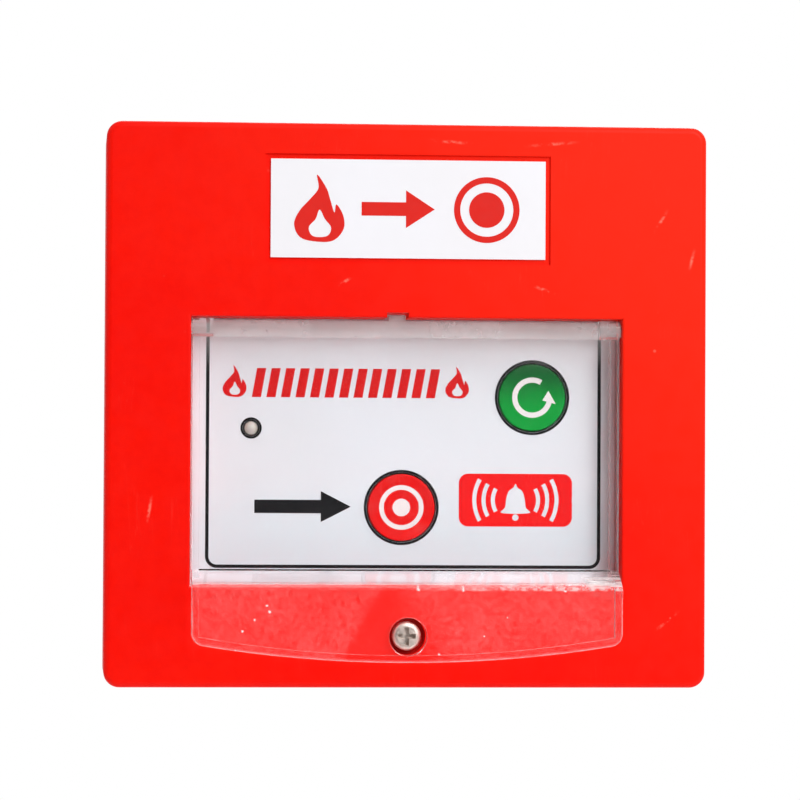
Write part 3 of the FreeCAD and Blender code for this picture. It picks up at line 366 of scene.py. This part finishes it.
def clear_flap():
    """Clear moulded plastic, scratched and dusty, under a pale layer that holds its dust and its painted
    light:
    haze on the skirt that is partly a painted reflection, painted highlights on the skirt's rim, along the
    bend and in the lower right corner, dust and painted light on the right side wall, painted light on the
    rib along its top, fading down the pane, and least over the panel. Its shadow is that of a thin clear
    sheet."""
    shader = Shader("clear_flap")
    lines = crossed_scratches(shader, ((0.0, 0.9, 0.0), 60, 0.014, 5), ((0.0, 2.4, 0.0), 45, 0.012, 6))
    roughness = shader.spread(shader.noise(160.0, 4.0, 0.6), 0.015, 0.05)
    roughness = shader.plus(roughness, shader.times(lines, 0.06), clamp=True)
    normal = shader.bump(shader.noise(70.0, 2.0, 0.5), 0.05, 0.0004)
    normal = shader.bump(lines, 0.08, -0.00002, normal)
    glass = shader.principled(color=(0.972, 0.970, 0.972, 1.0), rough=roughness, normal=normal,
                              clear=1.0, ior=1.49)

    # Where the flap's zones start and end, in metres from the object's middle.
    panel_foot, skirt_top = -0.0338, -0.0352
    window, right_wall = 0.034, 0.036
    light_lift_foot, light_lift_top, rib_foot, rib_top = 0.0060, 0.0135, 0.0127, 0.0132

    across, height = shader.axis("X"), shader.axis("Z")
    skirt = shader.fade(height, panel_foot, skirt_top)
    cloud = shader.fade(shader.noise(120.0, 5.0, 0.65), 0.25, 0.8, 0.55, 1.0)
    # Dust and painted light on the right side wall: a pale layer that lightens the wall, on the right only.
    wall_dust_and_light = shader.times(shader.fade(shader.facing("X"), 0.8, 0.95), shader.fade(across, window, right_wall))
    dust_and_light = skirt_haze_and_reflection(shader, across, height, skirt, cloud)
    for light_and_dust_mark in (rim_highlight(shader, skirt), bend_glints(shader, across, height), shader.times(wall_dust_and_light, 0.25),
                 corner_glint(shader, across, height)):
        dust_and_light = shader.larger(dust_and_light, light_and_dust_mark)
    # Painted light: a pale band on the rib along the top, and a weaker one fading down the pane below it,
    # lightening the shade under the window's top edge.
    rib_light = shader.times(shader.fade(height, rib_foot, rib_top), 0.22)
    rib_light = shader.plus(rib_light, shader.fade(height, light_lift_foot, light_lift_top, 0.0, 0.10))
    dust_and_light = shader.plus(dust_and_light, shader.times(cloud, 0.003))
    dust_and_light = shader.plus(dust_and_light, shader.times(rib_light, cloud))
    dust_and_light = shader.plus(dust_and_light, shader.times(speck_mask(shader), 0.7), clamp=True)

    # This pale layer shows the real dust and specks, and also the painted highlights, reflection and light.
    dust = shader.principled(color=srgb(244, 240, 240), rough=0.8, shine=0.2)
    coated = shader.add("ShaderNodeMixShader", {0: dust_and_light, 1: glass, 2: dust}).outputs[0]
    passed = shader.add("ShaderNodeBsdfTransparent", {0: (0.88, 0.87, 0.88, 1.0)}).outputs[0]
    shadow = shader.add("ShaderNodeLightPath").outputs["Is Shadow Ray"]
    return shader.finish(shader.add("ShaderNodeMixShader", {0: shadow, 1: coated, 2: passed}).outputs[0])


def printed_film(name, color, foot=None):
    """Satin printed film: faint mottling, slight yellowing drift and tiny specks. A foot is a colour
    that it turns to between two heights."""
    shader = Shader(name)
    rough = 0.42
    drift = shader.noise(30.0, 3.0, 0.5)
    warm = tuple(channel * scale for channel, scale in zip(color[:3], (0.985, 0.975, 0.965))) + (1.0,)
    tone = shader.mix(shader.fade(drift, 0.35, 0.7), color, warm)
    if foot:
        shade, start, end = foot
        tone = shader.mix(shader.fade(shader.axis("Z"), start, end), tone, shade)
    speck = shader.fade(shader.cells(300.0), 0.06, 0.02)
    speck = shader.times(speck, shader.fade(shader.noise(120.0), 0.62, 0.70))
    tone = shader.mix(shader.times(speck, 0.35), tone, srgb(150, 146, 148))
    roughness = shader.spread(shader.noise(420.0, 3.0, 0.6), rough - 0.06, rough + 0.06)
    normal = shader.bump(shader.noise(1500.0, 2.0, 0.5), 0.08, 0.00003)
    normal = shader.bump(shader.noise(60.0, 2.0, 0.5), 0.05, 0.0003, normal)
    return shader.finish(shader.principled(color=tone, rough=roughness, normal=normal, shine=0.35))


def panel_film():
    """White film of the key panel, a little bluer and greyer towards its foot: painted shade with a cool
    tint that cancels the red light thrown up from the window's lower wall.
    """
    low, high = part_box("panel_overlay")
    # Painted shade and cool tint over the lower part of the film, strongest at its foot.
    start = low[2] + 1.3 * ((high[2] - low[2]) / 3)
    return printed_film("panel_film", srgb(229, 234, 239), foot=(srgb(206, 232, 238), start, low[2]))


def ink(name, color, rough=0.4):
    """Screen-printed ink: slightly uneven cover and a fine edge-to-edge texture."""
    shader = Shader(name)
    cover = shader.fade(shader.noise(650.0, 4.0, 0.7), 0.25, 0.75)
    tone = shader.mix(cover, scaled(color, 0.96, 0.004), color)
    roughness = shader.spread(shader.noise(500.0, 3.0, 0.6), rough - 0.08, rough + 0.08)
    normal = shader.bump(shader.noise(1800.0, 2.0, 0.5), 0.12, 0.00002)
    return shader.finish(shader.principled(color=tone, rough=roughness, normal=normal, shine=0.15))


def key_green():
    """Green reset key: deeper and duller towards its top, a painted shade where the window's top edge
    shades it.
    """
    low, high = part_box("reset_key_cap")
    shader = Shader("key_green")
    # Painted shade: darker towards the top of the key, its edge made uneven by noise.
    darkening = shader.noise(260.0, 4.0, 0.6)
    height = shader.plus(shader.axis("Z"), shader.times(shader.minus(darkening, 0.5), 0.002))
    lit_start, shaded_end = low[2] + 0.004, high[2] - 0.001
    tone = shader.mix(shader.fade(height, lit_start, shaded_end), srgb(2, 158, 58), srgb(8, 98, 42))
    film = shader.times(shader.fade(shader.noise(900.0, 3.0, 0.6), 0.55, 0.75), 0.06)
    tone = shader.mix(film, tone, srgb(120, 190, 140))
    roughness = shader.spread(shader.noise(500.0, 3.0, 0.6), 0.34, 0.46)
    normal = shader.bump(shader.noise(700.0, 2.0, 0.5), 0.10, 0.00005)
    return shader.finish(shader.principled(color=tone, rough=roughness, normal=normal, shine=0.12))


def metal(name, color, rough=0.32, dirt=0.35, turned=True):
    """Plated steel or brass: turning rings and blotches of dark dirt."""
    shader = Shader(name)
    blotch = shader.noise(600.0, 5.0, 0.65)
    darkening = shader.times(shader.fade(blotch, 0.55, 0.72), dirt)
    tone = shader.mix(darkening, color, scaled(color, 0.45))
    roughness = shader.spread(shader.noise(900.0, 4.0, 0.6), rough - 0.1, rough + 0.12)
    fine = shader.noise(2600.0, 2.0, 0.5, shader.stretch((1.0, 6.0, 1.0)) if turned else None)
    normal = shader.bump(fine, 0.18, 0.00003)
    return shader.finish(shader.principled(color=tone, rough=roughness, normal=normal, metal=1.0))


def board_green():
    """Solder mask over copper tracks, with the weave of the laminate just showing."""
    shader = Shader("board_green")
    edge = shader.cells(150.0, shader.stretch((1.0, 0.01, 1.0)), feature="DISTANCE_TO_EDGE")
    tracks = shader.fade(edge, 0.10, 0.07)
    tone = shader.mix(shader.times(tracks, 0.5), srgb(24, 98, 54), srgb(46, 138, 76))
    weave = shader.noise(1600.0, 2.0, 0.5, shader.stretch((1.0, 1.0, 6.0)))
    tone = shader.mix(shader.fade(weave, 0.4, 0.7, 0.0, 0.18), tone, srgb(14, 70, 38))
    normal = shader.bump(tracks, 0.4, 0.00004)
    normal = shader.bump(weave, 0.08, 0.00002, normal)
    roughness = shader.spread(shader.noise(500.0), 0.28, 0.4)
    return shader.finish(shader.principled(color=tone, rough=roughness, normal=normal))


def lamp_lens():
    """Milky lamp epoxy, with a painted shadow down its right side, where its hole shades it, and darker
    round its rim.
    """
    shader = Shader("lamp_lens")
    x, _, z = middle("led_lamp")
    side_start, side_end, rim_start, rim_end = 0.0004, 0.0016, 0.0011, 0.0014
    # Painted shadow: darker down the right side of the lens.
    side = shader.fade(shader.minus(shader.axis("X"), x), side_start, side_end)
    tone = shader.mix(shader.times(side, 0.55), srgb(232, 232, 222), srgb(96, 96, 92))
    cloud = shader.noise(900.0, 3.0, 0.6)
    tone = shader.mix(shader.fade(cloud, 0.35, 0.7, 0.0, 0.15), tone, srgb(190, 190, 180))
    rim = shader.fade(shader.reach(x, z), rim_start, rim_end, 0.0, 0.85)
    tone = shader.mix(rim, tone, srgb(34, 36, 36))
    roughness = shader.spread(cloud, 0.12, 0.24)
    return shader.finish(shader.principled(color=tone, rough=roughness, clear=0.25, ior=1.5,
                                           inner=0.3, inner_scale=0.001))


def resistor_bands():
    """Beige lacquer with colour bands at fixed places along the body, in millimetres."""
    shader = Shader("resistor_bands")
    along = shader.minus(shader.axis("X"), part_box("resistors")[0][0])
    tone = shader.mix(shader.spread(shader.noise(800.0)), srgb(212, 186, 140), srgb(198, 170, 122))
    half_width, full = 0.30 * MM, 0.24 * MM
    for place, color in ((0.9, srgb(120, 60, 30)), (2.2, srgb(20, 20, 20)), (3.3, srgb(190, 40, 30)),
                         (5.3, srgb(180, 140, 50))):
        off = shader.size(shader.minus(along, place * MM))
        tone = shader.mix(shader.fade(off, half_width, full), tone, color)
    normal = shader.bump(shader.noise(1500.0), 0.15, 0.00003)
    roughness = shader.spread(shader.noise(700.0), 0.25, 0.4)
    return shader.finish(shader.principled(color=tone, rough=roughness, normal=normal))


def banded(name, color, band, node, start, width):
    """Small component body along X with one contrasting stripe, placed in millimetres."""
    shader = Shader(name)
    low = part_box(node)[0][0]
    soft_edge = 0.00004
    off = shader.size(shader.minus(shader.axis("X"), low + (start + width / 2) * MM))
    tone = shader.mix(shader.spread(shader.noise(700.0), 0.0, 0.25), color, BLACK)
    tone = shader.mix(shader.fade(off, width * MM / 2 + soft_edge, width * MM / 2), tone, band)
    normal = shader.bump(shader.noise(1500.0), 0.12, 0.00003)
    roughness = shader.spread(shader.noise(800.0), 0.24, 0.4)
    return shader.finish(shader.principled(color=tone, rough=roughness, normal=normal))


# ---------------------------------------------------------------- materials on the CAD nodes

def dress(material, *nodes):
    for node in nodes:
        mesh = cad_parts[node].data
        mesh.materials.clear()
        mesh.materials.append(material)


zinc = metal("zinc_plate", srgb(232, 218, 208), 0.42, 0.45)
tin = metal("tinned_lead", srgb(206, 206, 210), 0.34, 0.2)
black_plastic = moulded("black_plastic", srgb(30, 30, 32), 0.45, shine=0.5, dust=0.03)
white_plastic = moulded("white_plastic", srgb(228, 227, 230), 0.42, dust=0.04)

dress(cover_red(), "front_cover")
dress(moulded("box_red", srgb(226, 22, 10), 0.42, shine=0.25, dust=0.015, scratches=0.06), "back_box")
dress(moulded("plug_rubber", srgb(38, 38, 40), 0.7, grain=0.3, shine=0.2), "entry_plug")
dress(clear_flap(), "flap")
dress(printed_film("label_white", srgb(245, 244, 249)), "top_label")
dress(panel_film(), "panel_overlay")
dress(white_plastic, "panel_plate", "press_switch_plunger", "reset_switch_plunger")
dress(moulded("key_red", srgb(236, 5, 6), 0.40, shine=0.1, scratches=0.15), "press_key_cap")
dress(key_green(), "reset_key_cap")
dress(metal("turned_brass", srgb(206, 168, 92), 0.3, 0.2), "cover_insert")
dress(zinc, "cover_screw", "panel_screws", "board_screws", "terminal_screws")
dress(metal("spring_wire", srgb(170, 170, 174), 0.28, 0.2, turned=False),
      "press_switch_spring", "reset_switch_spring")
dress(board_green(), "circuit_board")
dress(black_plastic, "led_spacer", "thyristor", "press_switch_base", "reset_switch_base")
dress(tin, "led_leads", "resistor_leads", "diode_leads", "thyristor_leads", "capacitor_leads",
      "press_switch_pins", "reset_switch_pins", "terminal_pins", "terminal_clamps")
dress(lamp_lens(), "led_lamp")
dress(moulded("terminal_green", srgb(30, 120, 66), 0.45), "terminal_block")
dress(resistor_bands(), "resistors")
dress(banded("capacitor_sleeve", srgb(30, 42, 92), srgb(190, 190, 196), "capacitor", 0.0, 1.0),
      "capacitor")
dress(banded("diode_epoxy", srgb(34, 32, 32), srgb(200, 200, 200), "diode", 0.5, 0.6), "diode")


# ---------------------------------------------------------------- printed artwork

def arc_points(x, z, radius, start, end, steps):
    """Points on an arc, angles in degrees from +X towards +Z."""
    points = []
    for step in range(steps + 1):
        angle = math.radians(start + (end - start) * step / steps)
        points.append((x + radius * math.cos(angle), z + radius * math.sin(angle)))
    return points


def circle(x, z, radius, steps=72):
    return arc_points(x, z, radius, 0, 360 - 360 / steps, steps - 1)


def rounded_box(left, right, bottom, top, radius, steps=8):
    corners = ((right, top, 0), (left, top, 90), (left, bottom, 180), (right, bottom, 270))
    points = []
    for x, z, start in corners:
        inner_x = x - radius if x == right else x + radius
        inner_z = z - radius if z == top else z + radius
        points += arc_points(inner_x, inner_z, radius, start, start + 90, steps)
    return points


def smooth_loop(points, steps=8):
    """Closed Catmull-Rom curve through given points."""
    count = len(points)
    result = []
    for index in range(count):
        p0, p1, p2, p3 = (Vector(points[(index + offset) % count]) for offset in (-1, 0, 1, 2))
        for step in range(steps):
            t = step / steps
            value = 0.5 * ((2 * p1) + (p2 - p0) * t + (2 * p0 - 5 * p1 + 4 * p2 - p3) * t ** 2
                           + (3 * p1 - p0 - 3 * p2 + p3) * t ** 3)
            result.append((value.x, value.y))
    return result


def moved(points, x, z, scale=1.0):
    return [(x + scale * a, z + scale * b) for a, b in points]


def printed(name, loops, face, material, body="housing", rise=0.04):
    """Thin print that rides on a body, on its face at a depth in metres. Its closed loops and its rise
    are in millimetres; inner loops are holes."""
    curve = bpy.data.curves.new(name, "CURVE")
    curve.dimensions = "2D"
    curve.fill_mode = "BOTH"
    curve.extrude = rise / 2
    for loop in loops:
        spline = curve.splines.new("POLY")
        spline.points.add(len(loop) - 1)
        for point, (x, z) in zip(spline.points, loop):
            point.co = (x, z, 0.0, 1.0)
        spline.use_cyclic_u = True
    holder = bpy.data.objects.new(name + "_curve", curve)
    mesh = bpy.data.meshes.new_from_object(holder)
    bpy.data.objects.remove(holder)
    stand = Matrix(((MM, 0, 0, 0), (0, 0, -MM, -face - rise * MM / 2), (0, MM, 0, 0), (0, 0, 0, 1)))
    mesh.transform(stand)
    mesh.materials.clear()
    mesh.materials.append(material)
    piece = bpy.data.objects.new(name, mesh)
    bpy.context.scene.collection.objects.link(piece)
    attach(piece, body)


# A flame with its tip up, one unit tall, its foot at the origin, and the drop inside it.
FLAME = smooth_loop([(0.0, 0.0), (0.22, 0.03), (0.36, 0.20), (0.35, 0.40), (0.25, 0.56), (0.22, 0.44),
                     (0.16, 0.62), (0.10, 0.80), (-0.04, 1.0), (-0.02, 0.80), (-0.14, 0.64),
                     (-0.30, 0.46), (-0.38, 0.26), (-0.28, 0.06)])
FLAME_DROP = smooth_loop([(0.0, 0.07), (0.13, 0.10), (0.17, 0.22), (0.08, 0.34), (0.0, 0.48),
                          (-0.06, 0.34), (-0.16, 0.22), (-0.12, 0.10)])
# A bell one unit tall, its rim at the origin.
BELL = smooth_loop([(-0.48, 0.04), (-0.34, 0.20), (-0.30, 0.48), (-0.22, 0.72), (-0.07, 0.84),
                    (0.0, 0.96), (0.07, 0.84), (0.22, 0.72), (0.30, 0.48), (0.34, 0.20), (0.48, 0.04),
                    (0.2, 0.0), (-0.2, 0.0)])


def flame(x, z, tall):
    return [moved(FLAME, x, z, tall), moved(FLAME_DROP, x, z, tall)]


def block_arrow(tail, tip, z, neck, half_shaft, half_head):
    return [(tail, z - half_shaft), (neck, z - half_shaft), (neck, z - half_head), (tip, z),
            (neck, z + half_head), (neck, z + half_shaft), (tail, z + half_shaft)]


def turning_arrow(x, z, radius, width):
    """Three-quarter ring with an arrow head, for the reset key."""
    start, end, head_turn, head_flare, steps = 60, 345, 38, 1.35, 40
    outer = arc_points(x, z, radius + width / 2, start, end, steps)
    inner = arc_points(x, z, radius - width / 2, end, start, steps)
    tip_angle = math.radians(end + head_turn)
    tip = (x + radius * math.cos(tip_angle), z + radius * math.sin(tip_angle))
    angle = math.radians(end)
    wide = radius + width * head_flare
    narrow = radius - width * head_flare
    head = [(x + wide * math.cos(angle), z + wide * math.sin(angle)), tip,
            (x + narrow * math.cos(angle), z + narrow * math.sin(angle))]
    return outer + head + inner


def wave(x, z, radius, width, side):
    """Short sound-wave arc beside the bell; side is 1 to the right and -1 to the left."""
    ahead = 0 if side > 0 else 180
    low, high, steps = ahead - 30, ahead + 30, 14
    outer = arc_points(x, z, radius + width / 2, low, high, steps)
    inner = arc_points(x, z, radius - width / 2, high, low, steps)
    return outer + inner


RED_INK = ink("red_ink", srgb(220, 6, 8))
BADGE_INK = ink("badge_ink", srgb(244, 5, 8))
BLACK_INK = ink("black_ink", srgb(7, 8, 13), 0.5)
WHITE_INK = ink("white_ink", srgb(240, 236, 236))
LABEL_INK = ink("label_ink", srgb(226, 38, 30))


def print_label():
    """Name label: fire, then an arrow, then a button, as plain symbols."""
    _, z = middle_mm("top_label")
    tall = 12.8
    printed("label_flame", flame(-17.0, z - tall / 2, tall), LABEL_FACE, LABEL_INK)
    printed("label_arrow", [block_arrow(-9.0, 5.0, z, -0.5, 1.3, 3.6)], LABEL_FACE, LABEL_INK)
    printed("label_button", [circle(15.0, z, radius) for radius in (6.3, 5.1, 3.4)], LABEL_FACE, LABEL_INK)


def panel_border():
    """Border of the panel: two lower corners rounded, the top side left open to the edge."""
    line, steps = 0.65, 10
    left, right, bottom, top, radius = -38.1, 38.35, -31.25, 16.2, 2.2
    left_corner, right_corner = (left + radius, bottom + radius), (right - radius, bottom + radius)
    outer = ([(left, top)] + arc_points(*left_corner, radius, 180, 270, steps)
             + arc_points(*right_corner, radius, 270, 360, steps) + [(right, top)])
    small = radius - line
    inner = ([(right - line, top)] + arc_points(*right_corner, small, 360, 270, steps)
             + arc_points(*left_corner, small, 270, 180, steps) + [(left + line, top)])
    return outer + inner


def panel_heading():
    """A row of slanting strokes between two flames, in place of words."""
    foot, tall, taller = 1.6, 5.6, 0.5
    heading = flame(-32.6, foot, tall + taller) + flame(10.4, foot, tall + taller)
    start, count, pitch, width, slant = -29.3, 13, 2.8, 1.75, 1.0
    for step in range(count):
        x = start + step * pitch
        heading.append([(x, foot), (x + width, foot), (x + width + slant, foot + tall),
                        (x + slant, foot + tall)])
    return heading


def panel_badge():
    """A bell and its sound waves, left blank in a rounded badge."""
    x, z, half_width, half_height, corner = 21.8, -18.0, 11.0, 5.1, 1.8
    bell = moved(BELL, x, z - 2.6, 6.0)
    clapper = circle(x, z - 3.35, 0.62, 32)
    badge = [rounded_box(x - half_width, x + half_width, z - half_height, z + half_height, corner),
             bell, clapper]
    for side in (-1, 1):
        for radius in (4.4, 6.2, 8.0):
            badge.append(wave(x, z, radius, 0.8, side))
    return badge


def print_panel():
    """Artwork of the key panel: border, heading, arrow, rings and badge."""
    printed("panel_border", [panel_border()], FILM_FACE, BLACK_INK)
    printed("panel_heading", panel_heading(), FILM_FACE, RED_INK)
    printed("panel_arrow", [block_arrow(-28.7, -10.1, -19.4, -15.9, 1.29, 2.98)], FILM_FACE, BLACK_INK)
    key_hole = 6.75
    key_ring, lamp_ring = (key_hole + 0.5, key_hole + 0.02), (2.05, 1.66)
    for name, node, (outer, inner) in (("press_ring", "press_key_cap", key_ring),
                                       ("reset_ring", "reset_key_cap", key_ring),
                                       ("lamp_ring", "led_lamp", lamp_ring)):
        x, z = middle_mm(node)
        printed(name, [circle(x, z, outer), circle(x, z, inner)], FILM_FACE, BLACK_INK)
    printed("panel_badge", panel_badge(), FILM_FACE, BADGE_INK)


def print_keys():
    """A ring with a dot on the press key and a turning arrow on the reset key."""
    x, z = middle_mm("press_key_cap")
    target = [circle(x, z, radius) for radius in (4.3, 3.4, 1.7)]
    printed("press_symbol", target, KEY_FACE, WHITE_INK, "press_key")
    x, z = middle_mm("reset_key_cap")
    printed("reset_symbol", [turning_arrow(x, z, 3.4, 1.0)], KEY_FACE, WHITE_INK, "reset_key")


print_label()
print_panel()
print_keys()


# ---------------------------------------------------------------- springs

def make_springs():
    """The switches' coil springs as pieces of their own, on the housing; in the switch each shortens as its
    key goes in.
    """
    for key in ("press", "reset"):
        node = key + "_switch_spring"
        spring = bpy.data.objects.new(key + "_return_spring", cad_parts[node].data.copy())
        bpy.context.scene.collection.objects.link(spring)
        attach(spring, "housing")
        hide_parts(node)
        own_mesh(spring)


make_springs()


# ---------------------------------------------------------------- floor, lights and camera

def make_floor():
    half, height = 0.5, -0.2
    mesh = bpy.data.meshes.new("floor")
    corners = [(-half, -half, height), (half, -half, height), (half, half, height), (-half, half, height)]
    mesh.from_pydata(corners, [], [(0, 1, 2, 3)])
    floor = bpy.data.objects.new("floor", mesh)
    bpy.context.scene.collection.objects.link(floor)
    shader = Shader("pale_floor")
    tone = shader.mix(shader.noise(6.0), srgb(246, 246, 246), srgb(240, 240, 240))
    mesh.materials.append(shader.finish(shader.principled(color=tone, rough=0.8, shine=0.1)))


# Area lights: name, place, width, height and power in watts. All aim at LIGHT_TARGET.
LIGHTS = (
    ("key_light", (0.30, -0.74, 0.72), 0.28, 0.80, 2.8),
    ("glow_light", (0.36, -0.80, 0.34), 0.30, 0.30, 3.2),
    ("back_light", (0.1, 0.9, 0.6), 0.7, 0.5, 4.0),
)
LIGHT_TARGET = (0.0, -0.04, 0.0)


def make_lights():
    for name, place, width, height, power in LIGHTS:
        data = bpy.data.lights.new(name, "AREA")
        data.shape = "RECTANGLE"
        data.size = width
        data.size_y = height
        data.energy = power
        light = bpy.data.objects.new(name, data)
        light.location = place
        aim = Vector(LIGHT_TARGET) - Vector(place)
        light.rotation_euler = aim.to_track_quat("-Z", "Y").to_euler()
        bpy.context.scene.collection.objects.link(light)


def make_world():
    """Pale surroundings: white where the camera looks past the object. As a light they are bright
    above and softer below, with a dark patch in front, so the clear flap shows little reflection."""
    world = bpy.data.worlds.new("studio")
    bpy.context.scene.world = world
    world.use_nodes = True
    tree = world.node_tree
    tree.nodes.clear()

    def add(kind, inputs=(), **settings):
        node = tree.nodes.new(kind)
        for key, value in settings.items():
            setattr(node, key, value)
        for key, value in inputs:
            if isinstance(value, bpy.types.NodeSocket):
                tree.links.new(value, node.inputs[key])
            else:
                node.inputs[key].default_value = value
        return node

    def ramp(value, low, high, out_low, out_high):
        inputs = (("Value", value), ("From Min", low), ("From Max", high), ("To Min", out_low),
                  ("To Max", out_high))
        return add("ShaderNodeMapRange", inputs, interpolation_type="SMOOTHSTEP").outputs[0]

    direction = add("ShaderNodeTexCoord").outputs["Generated"]
    parts = add("ShaderNodeSeparateXYZ", ((0, direction),)).outputs
    below_light, above_light, patch_light = 0.45, 0.76, 0.07
    overhead = ramp(parts["Z"], -0.5, 0.6, below_light, above_light)
    ahead = ramp(parts["Y"], -0.97, -0.55, patch_light, 1.0)
    strength = add("ShaderNodeMath", ((0, overhead), (1, ahead)), operation="MULTIPLY").outputs[0]
    lighting = add("ShaderNodeBackground", (("Color", WHITE), ("Strength", strength)))
    seen = add("ShaderNodeBackground", (("Color", WHITE), ("Strength", 1.0)))
    path = add("ShaderNodeLightPath")
    mixed = add("ShaderNodeMixShader", ((0, path.outputs["Is Camera Ray"]), (1, lighting.outputs[0]),
                                        (2, seen.outputs[0])))
    add("ShaderNodeOutputWorld", ((0, mixed.outputs[0]),))


def make_camera():
    """Long lens a little to the left of the middle and below it, turned slightly about its own axis."""
    image_width, focal_pixels = 800, 3846
    left, below, distance = 0.0639, 0.0142, 0.730
    turn_right, tilt_up, roll = math.radians(4.888), math.radians(1.191), math.radians(0.296)
    data = bpy.data.cameras.new("camera")
    data.sensor_width = 36.0
    data.lens = data.sensor_width * focal_pixels / image_width
    camera = bpy.data.objects.new("camera", data)
    turned = (Matrix.Rotation(-turn_right, 4, "Z") @ Matrix.Rotation(math.radians(90) + tilt_up, 4, "X")
              @ Matrix.Rotation(roll, 4, "Z"))
    camera.matrix_world = Matrix.Translation((-left, -FRONT - distance, -below)) @ turned
    bpy.context.scene.collection.objects.link(camera)
    bpy.context.scene.camera = camera


make_floor()
make_lights()
make_world()
make_camera()
bpy.context.scene.view_settings.view_transform = "Standard"
